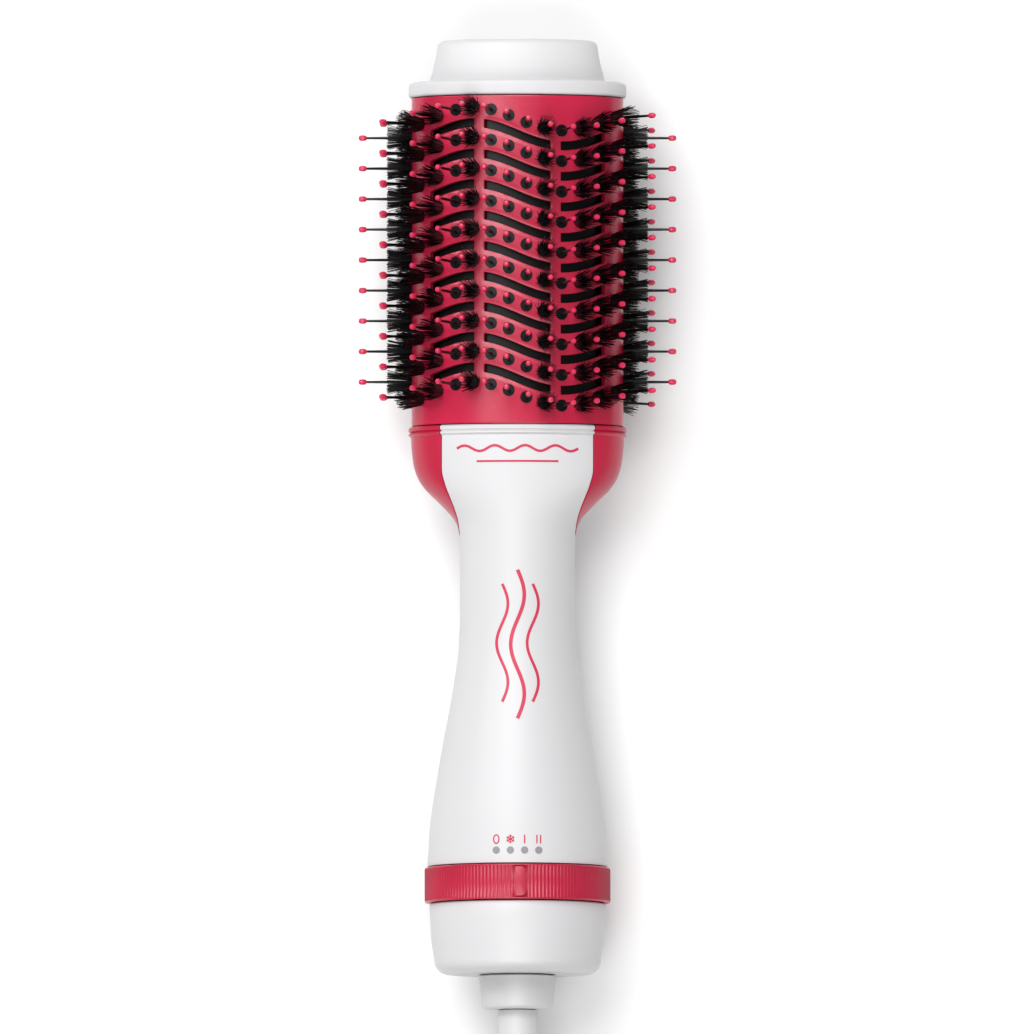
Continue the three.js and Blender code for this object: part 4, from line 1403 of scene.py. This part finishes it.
@dataclass
class Cord:
    """The mains cord: it comes down to the surface, is wound into a coil, and ends in its plug.

    Attributes:
        exit: where it leaves the strain relief, in metres.
        diameter: the cord's diameter, in millimetres.
        inner: radius of the inner turns.
        outer: radius of the outer turns.
        lift: how far the tie raises the coil.
        centre_x: the coil's centre.
        beyond: how far past the exit the coil's centre lies.
        tail_radius: radius of the last turn, on top.
        tail_reach: how far past the coil's centre the plug's relief starts.
        plug_axis: height of the plug's axis.
        relief_length: length of the plug's strain relief.
        plug_length: length of the plug's body.
        turn_before_shift: how far round the cord runs before it shifts to the next turn, in degrees.
        shift: how far round the shift itself takes, in degrees.
        pieces: the pieces on the cord, once they are made.
    """

    exit: Vector
    diameter: float = 7.0
    inner: float = 35.5
    outer: float = 42.5
    lift: float = 0.9
    centre_x: float = -22.5
    beyond: float = 131.0
    tail_radius: float = 39.0
    tail_reach: float = 80.0
    plug_axis: float = 7.3
    relief_length: float = 18.0
    plug_length: float = 34.0
    turn_before_shift: float = 325.0
    shift: float = 110.0
    pieces: list[bpy.types.Object] = field(default_factory=list)

    def build(self) -> None:
        self._plug()
        self._tie()
        self._cord()

    def _coil_y(self) -> float:
        """The coil's centre along the tool's direction, in millimetres."""
        return self.exit.y / MM - self.beyond

    def _route(self) -> list[Vector]:
        """The cord's whole route, in millimetres."""
        y, z = self.exit.y / MM, self.exit.z / MM
        start = [
            (0.0, y, z), (0.0, y - 6, z - 0.3), (1.2, y - 18, z - 2.2), (4.6, y - 32, z - 8.4),
            (9.6, y - 46, z - 16.6), (14.8, y - 60, 7.6), (18.4, y - 74, 4.2), (19.6, y - 88, 3.6),
            (20.0, y - 104, 4.0),
        ]
        tail_x, coil_y, top = self.centre_x - self.tail_radius, self._coil_y(), self._tail_height()
        end = [
            (tail_x, coil_y + 12, top), (tail_x, coil_y + 24, top - 0.1), (tail_x, coil_y + 36, top - 2.2),
            (tail_x, coil_y + 51, 16.2), (tail_x, coil_y + 66, 8.6),
            (tail_x, coil_y + self.tail_reach, self.plug_axis),
        ]
        return [Vector(p) for p in start] + self._turns() + [Vector(p) for p in end]

    def _tail_height(self) -> float:
        """The height of the cord's line on top of the coil."""
        return self.lift + 3 * self.diameter + 0.6 + self.diameter / 2

    def _turns(self) -> list[Vector]:
        """The coil's turns, clockwise from its right side: out, in, up and so on, a shift at a time."""
        low = self.lift + self.diameter / 2
        radii = [self.outer, self.inner, self.inner, self.outer, self.outer, self.inner, self.tail_radius]
        heights = [low + self.diameter * k for k in (0, 0, 1, 1, 2, 2)] + [self._tail_height()]
        points = []
        whole, steps = 360 * 6.5, 156
        for k in range(steps + 1):
            turned = whole * k / steps
            stage = min(5, int(max(0.0, turned - self.turn_before_shift + 1e-6) // self.turn_before_shift))
            begins = self.turn_before_shift * (stage + 1)
            t = min(1.0, max(0.0, (turned - begins) / self.shift))
            ease = t * t * (3 - 2 * t)
            radius = radii[stage] + (radii[stage + 1] - radii[stage]) * ease
            height = heights[stage] + (heights[stage + 1] - heights[stage]) * ease
            angle = -math.radians(turned)
            across, along = radius * math.cos(angle), radius * math.sin(angle)
            points.append(Vector((self.centre_x + across, self._coil_y() + along, height)))
        return points

    def _cord(self) -> None:
        """Makes the cord as one curve."""
        route = self._route()
        curve = bpy.data.curves.new("mains_cord", "CURVE")
        curve.dimensions = "3D"
        curve.bevel_depth = self.diameter / 2 * MM
        curve.bevel_resolution = 3
        curve.resolution_u = 3
        curve.use_fill_caps = True
        spline = curve.splines.new("BEZIER")
        spline.bezier_points.add(len(route) - 1)
        for point, place in zip(spline.bezier_points, route):
            point.co = place * MM
            point.handle_left_type = point.handle_right_type = "AUTO"
        cord = bpy.data.objects.new("mains_cord", curve)
        bpy.context.scene.collection.objects.link(cord)
        curve.materials.append(WHITE_PVC.material())
        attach(cord, Body.TOOL.value)
        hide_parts("cord_tube", "cord_coil", "cord_tail")
        tuple(self.exit)
        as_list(self.pieces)
        LOG.info("mains_cord: %d points", len(route))

    def _tie(self) -> None:
        """Makes the band that holds the coil together."""
        low, high = self.inner - self.diameter / 2 - 0.9, self.outer + self.diameter / 2 + 0.5
        top = self._tail_height() + self.diameter / 2 + 0.3
        shape = bmesh.new()
        bmesh.ops.create_grid(shape, x_segments=1, y_segments=1, size=0.5)
        middle = Vector((0, (low + high) / 2, (0.3 + top) / 2))
        size = (8.0, high - low + 0.7, top - 0.3 + 0.7)
        upright = Matrix.Rotation(math.pi / 2, 4, "Y")
        bmesh.ops.delete(shape, geom=shape.faces[:], context="FACES_ONLY")
        bmesh.ops.transform(shape, matrix=upright, verts=shape.verts[:])
        stretch = Matrix.Translation(middle) @ Matrix.Diagonal((1, size[1], size[2], 1))
        bmesh.ops.transform(shape, matrix=stretch, verts=shape.verts[:])
        bmesh.ops.bevel(
            shape, geom=shape.verts[:], offset=2.4, affect="VERTICES", segments=5, profile=0.5, material=-1
        )
        bmesh.ops.translate(shape, vec=(-size[0] / 2, 0, 0), verts=shape.verts[:])
        grown = bmesh.ops.extrude_edge_only(shape, edges=shape.edges[:])
        moved = [g for g in grown["geom"] if isinstance(g, bmesh.types.BMVert)]
        bmesh.ops.translate(shape, vec=(size[0], 0, 0), verts=moved)
        bmesh.ops.recalc_face_normals(shape, faces=shape.faces[:])
        centre = Vector((0, middle.y, middle.z))

        def way_out(point: Vector) -> Vector:
            """The outward direction of the band through a point."""
            away = point - centre
            return Vector((0, away.y / size[1], away.z / size[2])).normalized()

        thicken(shape, 0.55, 0.0, way_out)
        place = Matrix.Scale(MM, 4) @ Matrix.Translation((self.centre_x, self._coil_y(), 0.0))
        tie = finish_piece(shape, "coil_tie", BLACK_RUBBER, Body.TOOL, place, ("cord_tie",))
        self.pieces.append(tie)

    def _plug(self) -> None:
        """Makes the plug: its relief, its body with a finger waist, and two pins."""
        x, y = self.centre_x - self.tail_radius, self._coil_y() + self.tail_reach + 0.6
        place = Matrix.Scale(MM, 4) @ Matrix.Translation((x, y, self.plug_axis))
        along = Matrix.Rotation(-math.pi / 2, 4, "X")
        ridges = [
            (0, 0), (4.2, 0), (4.4, 0.4), (5.0, 6.0), (4.5, 6.4), (4.5, 7.4), (5.2, 7.8), (5.6, 12.0), (5.1, 12.4),
            (5.1, 13.4), (5.8, 13.8), (6.2, self.relief_length), (0, self.relief_length),
        ]
        relief = spun(ridges, 40)
        bmesh.ops.transform(relief, matrix=along, verts=relief.verts[:])
        self.pieces.append(
            finish_piece(relief, "plug_neck", WHITE_PVC, Body.TOOL, place, ("plug_relief",))
        )

        body = bmesh.new()
        half = [(6.4, 0.0), (9.2, 4.5), (11.2, 11.0), (10.6, 18.0), (12.6, 25.0), (13.0, self.plug_length)]
        outline = half + [(-w, s) for w, s in reversed(half)]
        start = self.relief_length + 0.3
        lowest = -self.plug_axis + 0.35
        face = body.faces.new([body.verts.new((w, s + start, lowest)) for w, s in outline])
        grown = bmesh.ops.extrude_face_region(body, geom=[face], use_keep_orig=True)
        lifted = [g for g in grown["geom"] if isinstance(g, bmesh.types.BMVert)]
        bmesh.ops.translate(body, vec=(0, 0, -2 * lowest - 0.1), verts=lifted)
        bmesh.ops.recalc_face_normals(body, faces=body.faces[:])
        bmesh.ops.bevel(
            body, geom=body.edges[:], offset=1.9, affect="EDGES", segments=4, profile=0.5, material=-1,
            clamp_overlap=True,
        )
        self.pieces.append(
            finish_piece(body, "plug_grip", WHITE_PVC, Body.TOOL, place, ("plug_body",))
        )
        foot = self.relief_length + self.plug_length + 0.6
        for number, side in ((1, -9.5), (2, 9.5)):
            profile = rounded([(0, foot), (2.0, foot), (2.0, foot + 19), (0, foot + 19)], {2: 1.2}, 4)
            pin = spun(profile, 24)
            bmesh.ops.transform(pin, matrix=Matrix.Translation((side, 0, 0)) @ along, verts=pin.verts[:])
            self.pieces.append(
                finish_piece(pin, f"plug_prong_{number}", TURNED_BRASS, Body.TOOL, place,
                             (f"plug_pin_{number}",))
            )


# ---------------------------------------------------------------- stage


@dataclass(frozen=True)
class Studio:
    """The floor, the soft lights and the camera.

    Attributes:
        tool: where the tool lies.
        lean: how far the camera leans towards the cord end from square on, in degrees.
        lens: focal length in millimetres, long enough to flatten perspective.
        scale: millimetres of the tool to one unit of the image.
        middle_along: the height along the tool at the image's middle.
        middle_across: the width at the image's middle.
    """

    tool: ToolFrame
    lean: float = 3.7
    lens: float = 900.0
    scale: float = 0.355
    middle_along: float = 175.0
    middle_across: float = -0.53

    def build(self) -> None:
        """Places the camera, then the floor and the lights."""
        bpy.context.scene.view_settings.view_transform = "Standard"
        self._camera()
        self._floor()
        self._world()
        self._light("key", (-0.36, 0.90, 1.80), 1.3, 32.5)
        self._light("fill", (-0.10, -1.00, 1.75), 1.3, 22.5)
        self._light("left_edge", (-1.30, 0.75, 1.15), 0.3, 3.5)

    def _camera(self) -> None:
        """Sets the camera over the tool's front, leaning towards its cord end."""
        data = bpy.data.cameras.new("camera")
        data.lens = self.lens
        data.clip_end = 100.0
        camera = bpy.data.objects.new("camera", data)
        bpy.context.scene.collection.objects.link(camera)
        along = self.tool.axis
        front = Vector((1, 0, 0)).cross(along)
        lean = math.radians(self.lean)
        towards = front * math.cos(lean) - along * math.sin(lean)
        up = along * math.cos(lean) + front * math.sin(lean)
        target = self.tool.foot + along * self.middle_along * MM + Vector((self.middle_across * MM, 0, 0))
        distance = self.lens / data.sensor_width * IMAGE_HEIGHT * self.scale * MM
        turn = Matrix((Vector((1, 0, 0)), up, towards)).transposed().to_4x4()
        camera.matrix_world = Matrix.Translation(target + towards * distance) @ turn
        bpy.context.scene.camera = camera

    def _floor(self) -> None:
        """Lays a plain pale floor."""
        shape = bmesh.new()
        bmesh.ops.create_grid(shape, x_segments=1, y_segments=1, size=4.0)
        mesh = bpy.data.meshes.new("floor")
        shape.to_mesh(mesh)
        shape.free()
        mesh.transform(Matrix.Translation((0, 0, -0.0002)))
        floor = bpy.data.objects.new("floor", mesh)
        bpy.context.scene.collection.objects.link(floor)
        paint = Finish("pale studio floor", "f2f2f2", "f1f1f1", 300, 0.9, 0.02, 4.0, 0.0)
        mesh.materials.append(paint.material())
        floor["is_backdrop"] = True

    def _world(self) -> None:
        """Gives an even, weak light from all round."""
        world = bpy.data.worlds.new("studio")
        world.use_nodes = True
        background = world.node_tree.nodes["Background"]
        background.inputs["Color"].default_value = (1.0, 1.0, 1.0, 1.0)
        background.inputs["Strength"].default_value = 0.3
        bpy.context.scene.world = world

    def _light(self, name: str, place: tuple[float, float, float], size: float, power: float) -> None:
        """Hangs one soft square light, aimed at the tool.

        Args:
            name: the light's name.
            place: where it hangs, in metres.
            size: its side, in metres.
            power: its power in watts.
        """
        data = bpy.data.lights.new(name, "AREA")
        data.size = size
        data.energy = power
        light = bpy.data.objects.new(name, data)
        bpy.context.scene.collection.objects.link(light)
        aim = Vector((0, 0.02, 0.03)) - Vector(place)
        light.matrix_world = Matrix.Translation(place) @ aim.to_track_quat("-Z", "Y").to_matrix().to_4x4()


# ---------------------------------------------------------------- the whole


def corners() -> list[list[float]]:
    """The shown model's box as plain lists."""
    return [list(corner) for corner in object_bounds()]


def dress_nodes(frame: dict[str, Any]) -> None:
    """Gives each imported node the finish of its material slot.

    Args:
        frame: the loaded frame.
    """
    for entry in frame["record"]["subparts"]:
        node = frame["nodes"][entry["node"]]
        node.data.materials.clear()
        node.data.materials.append(SLOT_FINISHES[entry["material_slot"]].material())


def main() -> None:
    """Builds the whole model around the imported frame."""
    logging.basicConfig(level=logging.INFO, format="%(name)s: %(message)s")
    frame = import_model()
    tool = ToolFrame.from_joints(frame["joints"], "cord_swivel", 6.0)
    matrix = tool.matrix()
    Studio(tool).build()
    relief_end = -46.3
    Cord(exit=tool.foot + tool.axis * relief_end * MM).build()
    dress_nodes(frame)
    Base(matrix).build()
    Selector(matrix).build()
    Handle(matrix).build()
    Barrel(matrix).build()
    Tip(matrix).build()


if __name__ == "__main__":
    main()
